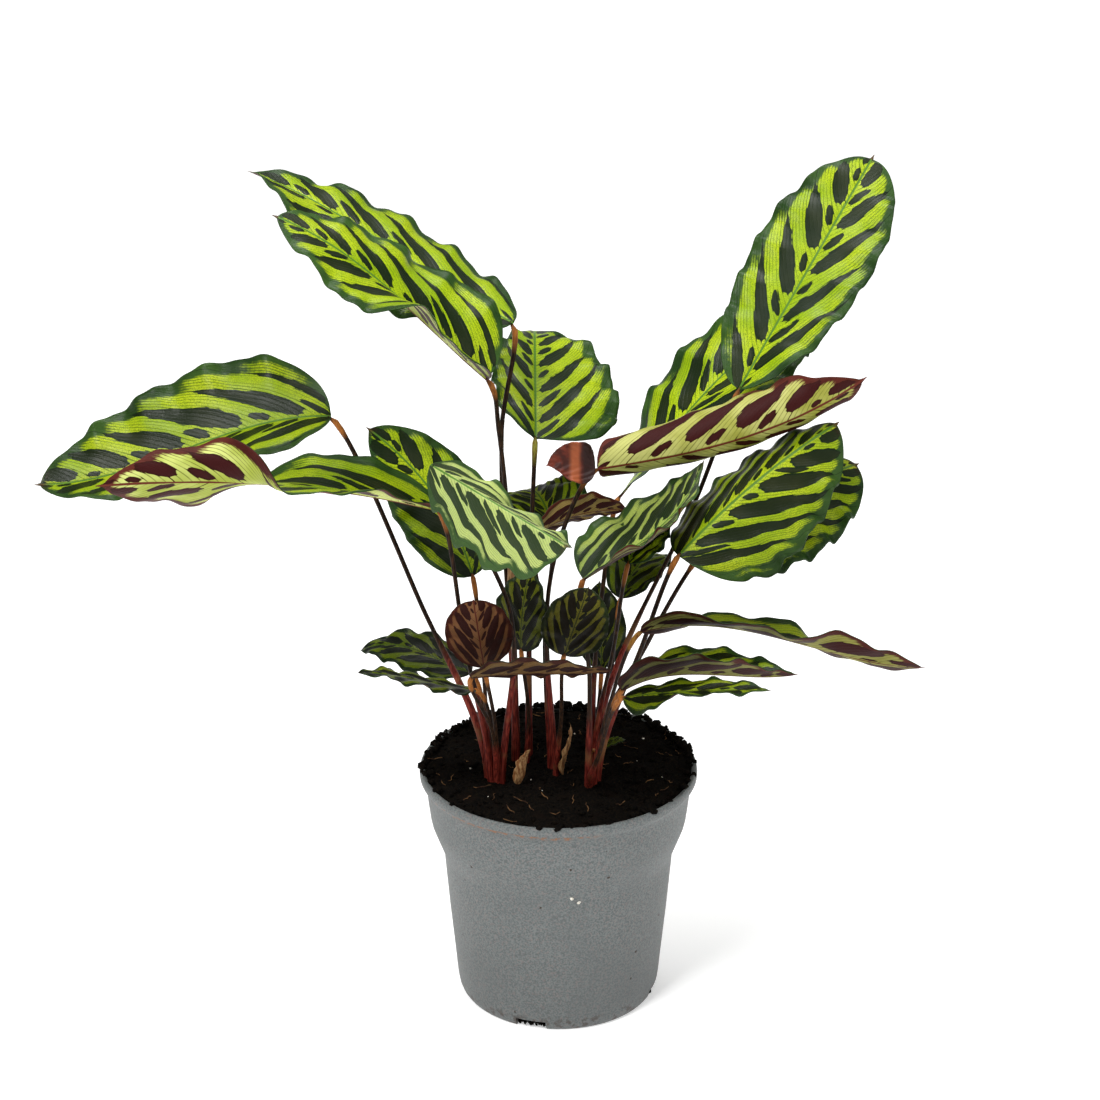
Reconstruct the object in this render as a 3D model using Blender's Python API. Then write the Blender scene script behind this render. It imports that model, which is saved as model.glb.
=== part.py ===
"""Potted peacock plant (Calathea makoyana) in a 12 cm nursery pot.

Sizes and places are in millimetres and are scaled to metres where a mesh is made. +Z is up, -Y is the front,
and the origin is the middle of the pot's underside.
"""
import math
from collections import namedtuple

import bmesh
import bpy
import numpy as np

MM = 0.001
GAP = 0.3

# Pot: radius and height down the outside, then up the inside
POT_WALL = 1.2
POT_SIDES = 36
POT_OUTSIDE = [
    (60.0, 108.0), (60.6, 106.5), (60.4, 104.2), (58.8, 102.4), (57.5, 100.0), (56.6, 90.0), (55.5, 82.0),
    (50.3, 68.0), (49.8, 60.0), (46.1, 19.0), (44.3, 3.0), (42.6, 0.0),
]
POT_INSIDE = [
    (44.2, 9.0), (48.6, 60.0), (49.1, 68.6), (54.3, 82.6), (55.4, 90.0), (56.2, 99.0), (57.4, 103.2),
    (58.8, 108.0),
]
FOOT_RING_INNER = 37.0
FLOOR_RAISED = 3.0
FLOOR_RADIUS = 43.4
PAD_RADIUS = 12.0
SLOT_COUNT = 4
SLOT_FIRST_ANGLE = -106.0
SLOT_WIDTH = 13.5
SLOT_HEIGHT = 4.5
SLOT_DEPTH = 11.0
SLOT_PLACE = 44.0

# Soil: level with the rim, a little higher round the shoots
SOIL_EDGE = 107.0
SOIL_RIM_RADIUS = 57.9
SOIL_MIDDLE = 108.0
SOIL_BUMP = 1.0
SOIL_RINGS = (13.0, 25.0, 36.0, 46.0, 53.0)

# Shoots: where each one's crown stands in the soil
SHOOTS = {"left": (-26, -12), "back_left": (-15, 6), "middle": (-2, -5), "right": (12, 7), "front_right": (12, -16)}
CROWN_RADIUS = 4.6
CROWN_FOOT = 90.0
CROWN_TOP = 109.5
CROWN_SIDES = 12

# Stalks: red sheaths below, thin above, with a thicker joint under the blade
STALK_ROOT_HEIGHT = 104.0
STALK_RING = 1.9
SHEATH_RADIUS = 1.75
STALK_RADIUS = 1.0
JOINT_RADIUS = 1.3
JOINT_LENGTH = 12.0
STALK_STEPS = (0, 0.3, 0.65, 1)

# Blades
BLADE_THICKNESS = 0.8
RIB_DEPTH = 0.5
STALK_END_SHARE = 0.03
BASE_POWER = 2.3
BASE_FULLNESS = 0.55
WAVE_POWER = 2.2
LARGE_BLADE = 40
LARGE_GRID = (14, 6)
SMALL_GRID = (10, 4)

# A leaf: the ends of its midrib, how far the midrib bows up from its chord at one and two thirds, the full
# width, where along the blade that is, how blunt the tip is (smaller is rounder), by what share the right
# half is wider and the left one narrower than the mean, and how far the left side is lifted by the roll. left
# and right are (fold, curl) of the halves: fold is how far the half is lifted at the midrib, curl how far it
# turns up on its way to the margin. Angles are in degrees, evenly spaced from base to tip. wave is the height,
# count and phase of the margin's waves, and via a point on the stalk.
Leaf = namedtuple(
    "Leaf", "shoot base tip bow wide belly blunt skew roll left right wave via",
    defaults=(0.45, 0.75, 0, (0,), ((5,), (-10,)), ((5,), (-10,)), (1.0, 4, 0.0), None))

LEAVES = {
    "upper_left_back": Leaf(
        shoot="back_left", base=(-19, 20, 303), tip=(-130, 66, 355), bow=(1, 3), wide=62, roll=(-14,),
        left=((5, 5, 10, 45), (-20,)), right=((-4,), (-20,)), wave=(2.5, 5, 0.2), via=(-24, 13, 258)),
    "upper_left_front": Leaf(
        shoot="back_left", base=(-29, -12, 289), tip=(-112, -12, 357), bow=(3, 5), wide=62, belly=0.3,
        blunt=0.62, roll=(-62, -24, -14), left=((92, 62, 8, -5), (-15,)), right=((5,), (-20,)), wave=(1.7, 5, 0.1),
        via=(-25, 0, 263)),
    "left_upper": Leaf(
        shoot="left", base=(-95, 8, 266), tip=(-216, -4, 240), bow=(3, -2), wide=66, belly=0.34, blunt=0.58,
        roll=(-44,), left=((45, 48, 46), (-15,)), right=((8,), (-10,)), wave=(2.6, 5, 0.0), via=(-59, -5, 188)),
    "left_lower": Leaf(
        shoot="left", base=(-49, -32, 240), tip=(-175, -88, 272), bow=(5, 5), wide=52, skew=0.2,
        roll=(-18, -12, 5, 66, 80), left=((40, 34, 0, 8, 20), (-10, 0, 5, 120, 110)),
        right=((12, 2, -12, 12, 20), (0, 10, 55)), wave=(1.4, 5, 0.0), via=(-39, -26, 175)),
    "top_middle": Leaf(
        shoot="back_left", base=(-10, 26, 250), tip=(-11, 128, 265), bow=(6, 8), wide=57, belly=0.3, blunt=0.7,
        skew=0.33, roll=(20, 16, 8), left=((15, 8, 4), (-20,)), right=((8,), (-10,)), wave=(2.0, 5, 0.0),
        via=(-12, 12, 200)),
    "upper_right": Leaf(
        shoot="right", base=(76, 24, 272.5), tip=(137, 102, 352), bow=(0, 0), wide=54, belly=0.58, blunt=0.52,
        roll=(14,), left=((10,), (-10,)), right=((22, 12, 5), (-15,)), wave=(2.0, 6, 0.0),
        via=(62, 28, 229)),
    "upper_right_back": Leaf(
        shoot="right", base=(26, 36, 219), tip=(108, 112, 275), bow=(6, 8), wide=64, belly=0.6, blunt=0.6,
        roll=(9,), left=((-55, -8, 14), (-15,)), right=((55, 25, 8), (-20,)), wave=(2.3, 5, 0.0), via=(19, 18, 183)),
    "right_rolled": Leaf(
        shoot="middle", base=(16, 0, 246), tip=(125, 2, 284), bow=(-6, -7), wide=56, belly=0.34, blunt=0.8,
        roll=(-72,), left=((0,), (150, 140, 170)), right=((0,), (220, 160, 140)), wave=(1.6, 5, 0.0),
        via=(-2, -2, 205)),
    "right_front": Leaf(
        shoot="front_right", base=(49, -30, 219), tip=(115, 2, 265), bow=(3, 3), wide=67, belly=0.34, blunt=0.55,
        roll=(22,), left=((-30,), (-16,)), right=((-22,), (-25,)), wave=(2.2, 5, 0.0), via=(36, -15, 174)),
    "right_back": Leaf(
        shoot="right", base=(60, -2, 208), tip=(129, 42, 232), bow=(4, 4), wide=58, belly=0.5, blunt=0.5,
        roll=(22,), left=((-10,), (-20,)), right=((-10,), (-30,)), wave=(2.5, 5, 0.0), via=(39, -2, 169)),
    "middle_left": Leaf(
        shoot="left", base=(-36, -14, 203), tip=(-78, -8, 266), bow=(6, 6), wide=39, belly=0.42, blunt=0.7,
        roll=(-58,), left=((0,), (-20,)), right=((0,), (-20,)), wave=(2.0, 5, 0.0), via=(-32, -13, 159)),
    "middle_front_pale": Leaf(
        shoot="left", base=(-51, -54, 268), tip=(3, -98, 251), bow=(0, 0), wide=47, belly=0.62, blunt=0.6,
        left=((0, -28, -30), (0,)), right=((-66,), (-10,)), wave=(2.5, 4, 0.0), via=(-20, -28, 192)),
    "middle_right_folded": Leaf(
        shoot="front_right", base=(10, -24, 206), tip=(60, -4, 250), bow=(-6, -8), wide=62, belly=0.42, blunt=0.8,
        roll=(15, 0, -10), left=((0,), (0,)), right=((43, 20, 10), (20,)), wave=(1.5, 4, 0.0),
        via=(13, -22, 159)),
    "middle_brown": Leaf(
        shoot="middle", base=(-10, 10, 213), tip=(29, 24, 218), bow=(3, 3), wide=20, blunt=0.8, roll=(-60,),
        left=((10,), (20,)), right=((10,), (20,)), wave=(0.8, 3, 0.0), via=(-5, 4, 166)),
    "middle_back_left": Leaf(
        shoot="middle", base=(-2, 24, 209), tip=(-17, 66, 208), bow=(8, 8), wide=42, blunt=0.7, roll=(-8,),
        wave=(2.0, 4, 0.0), via=(-6, 8, 164)),
    "middle_back_right": Leaf(
        shoot="right", base=(29, -12, 208), tip=(43, 10, 222), bow=(2, 2), wide=24, blunt=0.7, wave=(1.0, 4, 0.0),
        via=(24, -4, 169)),
    "under_right": Leaf(
        shoot="right", base=(27, 23, 177), tip=(46, 58, 183), bow=(6, 6), wide=26, blunt=0.7,
        wave=(1.2, 4, 0.0), via=(22, 14, 137)),
    "inner_front": Leaf(
        shoot="middle", base=(2, -37, 177), tip=(12, -36, 207), bow=(0, 0), wide=28, blunt=0.6, roll=(90,),
        left=((5,), (0,)), right=((5,), (0,)), via=(1, -20, 139)),
    "inner_left": Leaf(
        shoot="back_left", base=(-16, -8, 166), tip=(-12, -2, 201), bow=(2, 2), wide=26,
        left=((5,), (0,)), right=((5,), (0,)), via=(-13, -2, 134)),
    "inner_right": Leaf(
        shoot="right", base=(19, 26, 142), tip=(18, 36, 179), bow=(2, 2), wide=22, blunt=0.8,
        left=((5,), (0,)), right=((5,), (0,)), wave=(0.8, 4, 0.0), via=(17, 15, 123)),
    "inner_round": Leaf(
        shoot="left", base=(-31, -38, 172), tip=(-35, -42, 204), bow=(0, 0), wide=28, belly=0.5, blunt=0.5,
        roll=(45,), left=((5,), (0,)), right=((5,), (0,)), wave=(0.6, 4, 0.0), via=(-27, -27, 141)),
    "low_left_back": Leaf(
        shoot="left", base=(-38, 6, 149), tip=(-87, 30, 149), bow=(4, 6), wide=27, roll=(-12,),
        wave=(1.2, 4, 0.0), via=(-31, -3, 127)),
    "low_left_front": Leaf(
        shoot="left", base=(-35, -32, 159), tip=(-82, -54, 177), bow=(0, 1), wide=22, roll=(5,),
        wave=(1.2, 4, 0.0), via=(-28, -20, 133)),
    "low_front": Leaf(
        shoot="left", base=(-36, -52, 174), tip=(21, -68, 185), bow=(1, 0), wide=26, roll=(-38,),
        left=((5,), (10,)), right=((5,), (10,)), via=(-28, -31, 139)),
    "low_right_long": Leaf(
        shoot="front_right", base=(34, -26, 183), tip=(150, -40, 173), bow=(7, 2), wide=32, belly=0.55, blunt=0.7,
        roll=(-60, -22, -16, -48, -45), left=((5,), (30,)), right=((5,), (20,)), wave=(1.4, 4, 0.2),
        via=(20, -24, 142)),
    "low_right_back": Leaf(
        shoot="front_right", base=(26, -47, 166), tip=(96, -60, 179), bow=(5, 2), wide=40, belly=0.4, blunt=0.9,
        left=((14,), (-10,)), right=((50,), (-10,)), wave=(1.2, 4, 0.0), via=(17, -34, 130)),
    "low_right_front": Leaf(
        shoot="front_right", base=(26, -64, 171), tip=(83, -90, 186), bow=(1, 1), wide=26, belly=0.4, blunt=0.9,
        right=((-35, 20, 15), (-10,)), via=(16, -40, 130)),
    "soil_tip": Leaf(
        shoot="right", base=(19, -4, 118), tip=(29, 0, 120), bow=(1, 1), wide=7,
        left=((5,), (0,)), right=((5,), (0,)), wave=(0.2, 3, 0.0), via=(15, 1, 114)),
}

# Dried scales that stand on the soil in front of the shoots, with the same form as a leaf but no stalk
SCALES = {
    "left": Leaf(
        shoot=None, base=(-17, -20, 108.6), tip=(-12, -24, 127.4), bow=(0, 1), wide=9, belly=0.3, blunt=0.8,
        left=((5,), (50,)), right=((5,), (50,)), wave=(0.3, 3, 0.0)),
    "middle": Leaf(
        shoot=None, base=(2, -12, 109), tip=(5, -13, 134), bow=(0, -1), wide=6, belly=0.3, blunt=0.8,
        left=((5,), (50,)), right=((5,), (50,)), wave=(0.3, 3, 0.3)),
}

# Burgundy lobe folded back at the base of a blade, with the same form as a leaf
LOBES = {
    "right_rolled": Leaf(
        shoot=None, base=(15.2, -1.6, 247.2), tip=(-5, -5, 249), bow=(1, 2), wide=19, belly=0.36, blunt=1.1,
        roll=(-60,), left=((5,), (35,)), right=((5,), (35,)), wave=(0.5, 3, 0.0)),
}

# Finishes: colour, roughness
FINISHES = {
    "grey_plastic": ((0.33, 0.34, 0.35), 0.55),
    "peat": ((0.02, 0.014, 0.01), 0.95),
    "leaf_green": ((0.20, 0.36, 0.05), 0.4),
    "leaf_burgundy": ((0.08, 0.02, 0.01), 0.45),
    "dry_tan": ((0.42, 0.24, 0.10), 0.7),
    "stalk_brown": ((0.12, 0.05, 0.03), 0.5),
}


def clear_scene():
    for thing in list(bpy.data.objects):
        bpy.data.objects.remove(thing, do_unlink=True)


def finish(name):
    """The named Principled material, made once."""
    if name in bpy.data.materials:
        return bpy.data.materials[name]
    colour, roughness = FINISHES[name]
    material = bpy.data.materials.new(name)
    material.use_nodes = True
    shader = material.node_tree.nodes["Principled BSDF"]
    shader.inputs["Base Color"].default_value = (*colour, 1)
    shader.inputs["Roughness"].default_value = roughness
    shader.inputs["Metallic"].default_value = 0
    return material


def add_object(name, bm, material, smooth=35):
    """A mesh object from a bmesh in millimetres, with its faces pointing out."""
    bmesh.ops.recalc_face_normals(bm, faces=bm.faces)
    bmesh.ops.scale(bm, vec=(MM, MM, MM), verts=bm.verts)
    mesh = bpy.data.meshes.new(name)
    bm.to_mesh(mesh)
    bm.free()
    mesh.shade_smooth()
    mesh.set_sharp_from_angle(angle=math.radians(smooth))
    thing = bpy.data.objects.new(name, mesh)
    bpy.context.scene.collection.objects.link(thing)
    mesh.materials.append(finish(material))
    return thing


def evaluated_mesh(thing):
    graph = bpy.context.evaluated_depsgraph_get()
    return bpy.data.meshes.new_from_object(thing.evaluated_get(graph))


def apply_boolean(thing, operation, others):
    """Join or cut thing with the other objects, which are then removed."""
    tools = bpy.data.collections.new("tools")
    for other in others:
        tools.objects.link(other)
    modifier = thing.modifiers.new(operation, "BOOLEAN")
    modifier.operation = operation
    modifier.operand_type = "COLLECTION"
    modifier.collection = tools
    modifier.solver = "EXACT"
    mesh = evaluated_mesh(thing)
    thing.modifiers.clear()
    thing.data = mesh
    for other in others:
        bpy.data.objects.remove(other, do_unlink=True)
    bpy.data.collections.remove(tools)


def lathe(profile, sides):
    """A turned body from a profile of (radius, height) that starts and ends on the axis."""
    bm = bmesh.new()
    points = [bm.verts.new((radius, 0, height)) for radius, height in profile]
    edges = [bm.edges.new(pair) for pair in zip(points, points[1:])]
    bmesh.ops.spin(
        bm, geom=points + edges, cent=(0, 0, 0), axis=(0, 0, 1), angle=2 * math.pi, steps=sides, use_duplicate=False)
    bmesh.ops.remove_doubles(bm, verts=bm.verts, dist=0.001)
    return bm


def make_pot():
    underside = [
        (FOOT_RING_INNER, 0), (FOOT_RING_INNER - 2, FLOOR_RAISED), (PAD_RADIUS + 2, FLOOR_RAISED),
        (PAD_RADIUS, 0), (0, 0),
    ]
    top = [(0, FLOOR_RAISED + POT_WALL), (FLOOR_RADIUS, FLOOR_RAISED + POT_WALL)]
    profile = top + POT_INSIDE + POT_OUTSIDE + underside
    pot = add_object("pot", lathe(profile, POT_SIDES), "grey_plastic")
    apply_boolean(pot, "DIFFERENCE", [slot_cutter(i) for i in range(SLOT_COUNT)])
    return pot


def slot_cutter(index):
    """A box across the corner between the pot's wall and its floor."""
    bm = bmesh.new()
    bmesh.ops.create_cube(bm, size=1)
    bmesh.ops.scale(bm, vec=(SLOT_DEPTH, SLOT_WIDTH, 2 * SLOT_HEIGHT), verts=bm.verts)
    bmesh.ops.translate(bm, vec=(SLOT_PLACE, 0, 0), verts=bm.verts)
    angle = math.radians(SLOT_FIRST_ANGLE + 360 / SLOT_COUNT * index)
    turn = [(math.cos(angle), -math.sin(angle), 0), (math.sin(angle), math.cos(angle), 0), (0, 0, 1)]
    for vert in bm.verts:
        vert.co = [sum(row[k] * vert.co[k] for k in range(3)) for row in turn]
    return add_object(f"slot_cutter_{index}", bm, "grey_plastic")


def soil_height(x, y):
    """Height of the peat: a low mound with crumbs."""
    radius = math.hypot(x, y)
    mound = SOIL_MIDDLE + (SOIL_EDGE - SOIL_MIDDLE) * (radius / 57) ** 2
    crumbs = math.sin(x * 0.53 + 1.3 * math.sin(y * 0.37)) + math.sin(y * 0.61 + 1.7 * math.sin(x * 0.29))
    return mound + SOIL_BUMP * 0.5 * crumbs


def make_soil():
    floor = FLOOR_RAISED + POT_WALL + GAP
    side = [(radius - GAP, height) for radius, height in POT_INSIDE if height < SOIL_EDGE - 1]
    rim = (SOIL_RIM_RADIUS, SOIL_EDGE - 0.5)
    top = [(radius, SOIL_MIDDLE) for radius in reversed(SOIL_RINGS)]
    profile = [(0, floor), (FLOOR_RADIUS - GAP - 0.1, floor + 0.2), *side, rim, *top, (0, SOIL_MIDDLE)]
    bm = lathe(profile, POT_SIDES)
    for vert in bm.verts:
        if vert.co.z > SOIL_MIDDLE - 0.01:
            vert.co.z = soil_height(vert.co.x, vert.co.y)
    soil = add_object("soil", bm, "peat")
    apply_boolean(soil, "DIFFERENCE", [shoot_hole(name) for name in SHOOTS])
    return soil


def cylinder(x, y, low, high, radius, sides):
    bm = bmesh.new()
    bmesh.ops.create_cone(
        bm, cap_ends=True, segments=sides, radius1=radius, radius2=radius, depth=high - low)
    bmesh.ops.translate(bm, vec=(x, y, (low + high) / 2), verts=bm.verts)
    return bm


def shoot_hole(name):
    x, y = SHOOTS[name]
    bm = cylinder(x, y, CROWN_FOOT - GAP, SOIL_MIDDLE + 8, CROWN_RADIUS + GAP, CROWN_SIDES)
    return add_object(f"hole_{name}", bm, "peat")


def unit(vector):
    return vector / np.linalg.norm(vector)


def eased(values, s):
    """Value at s among evenly spaced ones, with a soft change from each to the next."""
    if len(values) == 1:
        return values[0]
    place = min(s, 0.999999) * (len(values) - 1)
    low = int(place)
    share = (1 - math.cos(math.pi * (place - low))) / 2
    return values[low] * (1 - share) + values[low + 1] * share


def midrib(leaf):
    """Four evenly spaced points of the midrib, and the level direction to its left."""
    base, tip = np.array(leaf.base, float), np.array(leaf.tip, float)
    along = unit(tip - base)
    left = unit(np.cross((0, 0, 1), along))
    up = np.cross(along, left)
    inner = [base + (tip - base) * (i + 1) / 3 + up * leaf.bow[i] for i in (0, 1)]
    return [base, *inner, tip], left


def through(four, s):
    """Point and direction at s on the cubic through four evenly spaced points."""
    knots = (0.0, 1 / 3, 2 / 3, 1.0)
    point = np.zeros(3)
    slope = np.zeros(3)
    for i, knot in enumerate(knots):
        others = [k for k in knots if k != knot]
        scale = math.prod(knot - k for k in others)
        a, b, c = (s - k for k in others)
        point += four[i] * a * b * c / scale
        slope += four[i] * (a * b + b * c + a * c) / scale
    return point, unit(slope)


def breadth(leaf, s):
    """Share of the full width at s: round at the base, pointed at the tip."""
    if s < leaf.belly:
        share = (1 - (1 - s / leaf.belly) ** BASE_POWER) ** BASE_FULLNESS
    else:
        share = (1 - ((s - leaf.belly) / (1 - leaf.belly)) ** 2) ** leaf.blunt
    return max(share, STALK_END_SHARE)


def section(leaf, s):
    """Middle, left and up directions of the blade at s."""
    four, left = midrib(leaf)
    point, along = through(four, s)
    left = unit(left - along * np.dot(left, along))
    up = np.cross(along, left)
    turn = math.radians(eased(leaf.roll, s))
    return point, left * math.cos(turn) + up * math.sin(turn), up * math.cos(turn) - left * math.sin(turn)


def blade_point(leaf, s, t):
    """Point of the blade's middle surface: s from base to tip, t from -1 at the right margin to 1."""
    point, left, up = section(leaf, s)
    side = 0 if t > 0 else 1
    folds, curls = leaf.left if t > 0 else leaf.right
    half = leaf.wide / 2 * (1 - leaf.skew, 1 + leaf.skew)[side]
    run = abs(t) * half * breadth(leaf, s)
    start = math.radians(eased(folds, s))
    bend = math.radians(eased(curls, s)) / half
    if abs(bend) < 1e-6:
        out, lift = run * math.cos(start), run * math.sin(start)
    else:
        out = (math.sin(start + bend * run) - math.sin(start)) / bend
        lift = (math.cos(start) - math.cos(start + bend * run)) / bend
    height, count, phase = leaf.wave
    fade = min(1, 6 * s, 6 * (1 - s))
    lift += height * abs(t) ** WAVE_POWER * math.sin(2 * math.pi * (count * s + phase + 0.37 * side)) * fade
    return point + left * out * math.copysign(1, t) + up * lift


def blade_rows(count):
    """Places along the blade, closer together towards both ends."""
    return [i / count - 0.35 * math.sin(2 * math.pi * i / count) / (2 * math.pi) for i in range(count + 1)]


def surface_normals(grid):
    along = np.gradient(grid, axis=0)
    across = np.gradient(grid, axis=1)
    normals = np.cross(along, across)
    return normals / np.linalg.norm(normals, axis=2, keepdims=True)


def make_blade(name, leaf, material):
    """A thin waved solid, split into like triangles on both faces, with a rib below its middle."""
    rows, cols = LARGE_GRID if leaf.wide > LARGE_BLADE else SMALL_GRID
    grid = np.array([[blade_point(leaf, s, 2 * j / cols - 1) for j in range(cols + 1)] for s in blade_rows(rows)])
    normals = surface_normals(grid)
    upper = grid + normals * BLADE_THICKNESS / 2
    lower = grid - normals * BLADE_THICKNESS / 2
    for i, s in enumerate(blade_rows(rows)):
        lower[i, cols // 2] -= normals[i, cols // 2] * RIB_DEPTH * min(1, 5 * s) * (1 - s)
    bm = bmesh.new()
    top = [[bm.verts.new(point) for point in row] for row in upper]
    low = [[bm.verts.new(point) for point in row] for row in lower]
    for i in range(rows):
        for j in range(cols):
            corners = ((i, j), (i + 1, j), (i + 1, j + 1), (i, j + 1))
            for face in ((0, 1, 2), (0, 2, 3)):
                bm.faces.new([top[corners[k][0]][corners[k][1]] for k in face])
                bm.faces.new([low[corners[k][0]][corners[k][1]] for k in reversed(face)])
    edge = [(i, 0) for i in range(rows)] + [(rows, j) for j in range(cols)]
    edge += [(i, cols) for i in range(rows, 0, -1)] + [(0, j) for j in range(cols, 0, -1)]
    for (a, b), (c, d) in zip(edge, edge[1:] + edge[:1]):
        bm.faces.new([top[a][b], low[a][b], low[c][d]])
        bm.faces.new([top[a][b], low[c][d], top[c][d]])
    return add_object(name, bm, material, smooth=60)


def arc(start, start_run, end, end_run, u):
    """Point at u on the smooth curve from start to end that leaves and arrives along the two runs."""
    return (
        start * (2 * u ** 3 - 3 * u ** 2 + 1) + start_run * (u ** 3 - 2 * u ** 2 + u)
        + end * (3 * u ** 2 - 2 * u ** 3) + end_run * (u ** 3 - u ** 2))


def stalk_route(leaf):
    """Points straight up from the crown, by the via point, to just short of the blade and in line with it."""
    base, via = np.array(leaf.base, float), np.array(leaf.via, float)
    crown = np.array((*SHOOTS[leaf.shoot], STALK_ROOT_HEIGHT), float)
    lean = via - crown
    lean[2] = 0
    root = crown + lean * min(1, STALK_RING / np.linalg.norm(lean))
    along = through(midrib(leaf)[0], 0)[1]
    end = base - along * (2 * GAP)
    way = unit(unit(via - root) + unit(end - via))
    first, second = np.linalg.norm(via - root), np.linalg.norm(end - via)
    lower = [arc(root, np.array((0, 0, first)), via, way * first, u) for u in STALK_STEPS]
    upper = [arc(via, way * second, end, along * 2 * JOINT_LENGTH, u) for u in STALK_STEPS[1:]]
    return lower + upper[:-1] + [end - along * JOINT_LENGTH / 3, end]


def make_stalk(name, route):
    """A tapering tube with a slightly thicker joint at its top."""
    curve = bpy.data.curves.new(name, "CURVE")
    curve.dimensions = "3D"
    curve.bevel_depth = MM
    curve.bevel_resolution = 1
    curve.use_fill_caps = True
    spline = curve.splines.new("POLY")
    spline.points.add(len(route) - 1)
    total = sum(math.dist(a, b) for a, b in zip(route, route[1:]))
    run = 0
    for k, point in enumerate(route):
        run += math.dist(route[k - 1], point) if k else 0
        radius = STALK_RADIUS + (SHEATH_RADIUS - STALK_RADIUS) * max(0, 1 - run / (0.5 * total)) ** 0.7
        if total - run < JOINT_LENGTH:
            radius = JOINT_RADIUS if total - run > 0.5 else STALK_RADIUS
        spline.points[k].co = (*(point * MM), 1)
        spline.points[k].radius = radius
    tube = bpy.data.objects.new(name, curve)
    bpy.context.scene.collection.objects.link(tube)
    bm = bmesh.new()
    bm.from_mesh(evaluated_mesh(tube))
    bpy.data.objects.remove(tube, do_unlink=True)
    bmesh.ops.remove_doubles(bm, verts=bm.verts, dist=0.00001)
    bmesh.ops.scale(bm, vec=(1 / MM, 1 / MM, 1 / MM), verts=bm.verts)
    return add_object(name, bm, "stalk_brown")


def make_shoot(name):
    """All the stalks of one shoot, joined at its crown."""
    x, y = SHOOTS[name]
    crown = cylinder(x, y, CROWN_FOOT, CROWN_TOP, CROWN_RADIUS, CROWN_SIDES)
    shoot = add_object(f"stalks_{name}", crown, "stalk_brown")
    leaves = [leaf for leaf in LEAVES.values() if leaf.shoot == name]
    stalks = [make_stalk(f"stalk_{i}", stalk_route(leaf)) for i, leaf in enumerate(leaves)]
    apply_boolean(shoot, "UNION", stalks)
    return shoot


clear_scene()
make_pot()
make_soil()
for shoot_name in SHOOTS:
    make_shoot(shoot_name)
for leaf_name, leaf_form in LEAVES.items():
    make_blade(f"blade_{leaf_name}", leaf_form, "leaf_green")
for lobe_name, lobe_form in LOBES.items():
    make_blade(f"lobe_{lobe_name}", lobe_form, "leaf_burgundy")
for scale_name, scale_form in SCALES.items():
    make_blade(f"scale_{scale_name}", scale_form, "dry_tan")
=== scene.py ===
"""Looks of the potted peacock plant (Calathea makoyana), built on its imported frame.

Sizes and places are in millimetres, as in the part's source, and are scaled to metres where a mesh is made.
"""
import math
import random
from collections import namedtuple

import bmesh
import bpy
import numpy as np
from mathutils import Euler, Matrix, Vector, noise


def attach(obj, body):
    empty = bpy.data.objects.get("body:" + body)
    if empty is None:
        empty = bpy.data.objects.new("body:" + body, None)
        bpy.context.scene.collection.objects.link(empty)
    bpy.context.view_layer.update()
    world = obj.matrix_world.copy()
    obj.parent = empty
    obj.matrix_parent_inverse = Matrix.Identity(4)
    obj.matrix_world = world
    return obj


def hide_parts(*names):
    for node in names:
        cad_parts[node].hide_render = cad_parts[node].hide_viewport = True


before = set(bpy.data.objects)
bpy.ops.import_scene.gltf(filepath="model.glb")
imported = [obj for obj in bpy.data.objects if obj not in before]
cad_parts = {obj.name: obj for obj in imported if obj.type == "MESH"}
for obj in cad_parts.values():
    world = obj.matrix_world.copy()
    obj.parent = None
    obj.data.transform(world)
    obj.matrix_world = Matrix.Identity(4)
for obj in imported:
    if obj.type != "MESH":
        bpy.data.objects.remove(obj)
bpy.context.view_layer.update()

MM = 0.001

# Camera, placed by the ellipses of the pot's rim and base
CAMERA_PLACE = (-3.7, -1048.0, 640.0)
CAMERA_PITCH = 67.65
CAMERA_LENS = 87.8

# Floor in metres, how far out it brightens in millimetres, and lamps: name, place, size and power
STAGE_SIZE = 60
STAGE_FADE = (900.0, 2200.0)
LAMPS = (
    ("key", (-0.6, -0.9, 1.6), 0.45, 24.0),
    ("fill", (0.9, -0.8, 0.7), 0.9, 3.5),
    ("top", (0.1, 0.4, 1.6), 0.7, 17.0),
)
LAMP_AIM = (0, 0, 0.2)
WORLD_STRENGTH = 0.22

# Pot
POT_SIDES = 144
POT_OUTSIDE = [
    (59.1, 108.2), (59.9, 108.1), (60.4, 107.4), (60.6, 106.4), (60.5, 104.6), (60.0, 103.6), (58.8, 102.6),
    (58.1, 101.2), (57.7, 99.0), (57.2, 94.0), (56.6, 89.0), (56.1, 85.0), (55.5, 82.2), (54.6, 79.6),
    (52.2, 73.2), (50.9, 69.6), (50.3, 67.4), (49.9, 62.0), (48.1, 40.0), (46.1, 19.0), (45.1, 8.0),
    (44.7, 5.0), (44.3, 3.0), (43.7, 1.4), (42.9, 0.3), (42.2, 0.0),
]
POT_INSIDE = [
    (43.0, 4.4), (44.3, 9.0), (46.9, 39.0), (48.7, 60.0), (49.2, 68.4), (54.3, 82.0), (55.4, 90.0),
    (56.3, 99.0), (57.3, 103.2), (58.3, 107.6),
]
FOOT_RING_INNER = 37.0
FLOOR_RAISED = 3.0
FLOOR_THICKNESS = 1.2
FLOOR_RADIUS = 42.0
FOOT_SLOPE = 1.6
PAD_RADIUS = 12.0
SLOT_COUNT = 4
SLOT_FIRST_ANGLE = -106.0
SLOT_SIZE = (11.0, 13.5, 9.0)
SLOT_PLACE = 44.0

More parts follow.
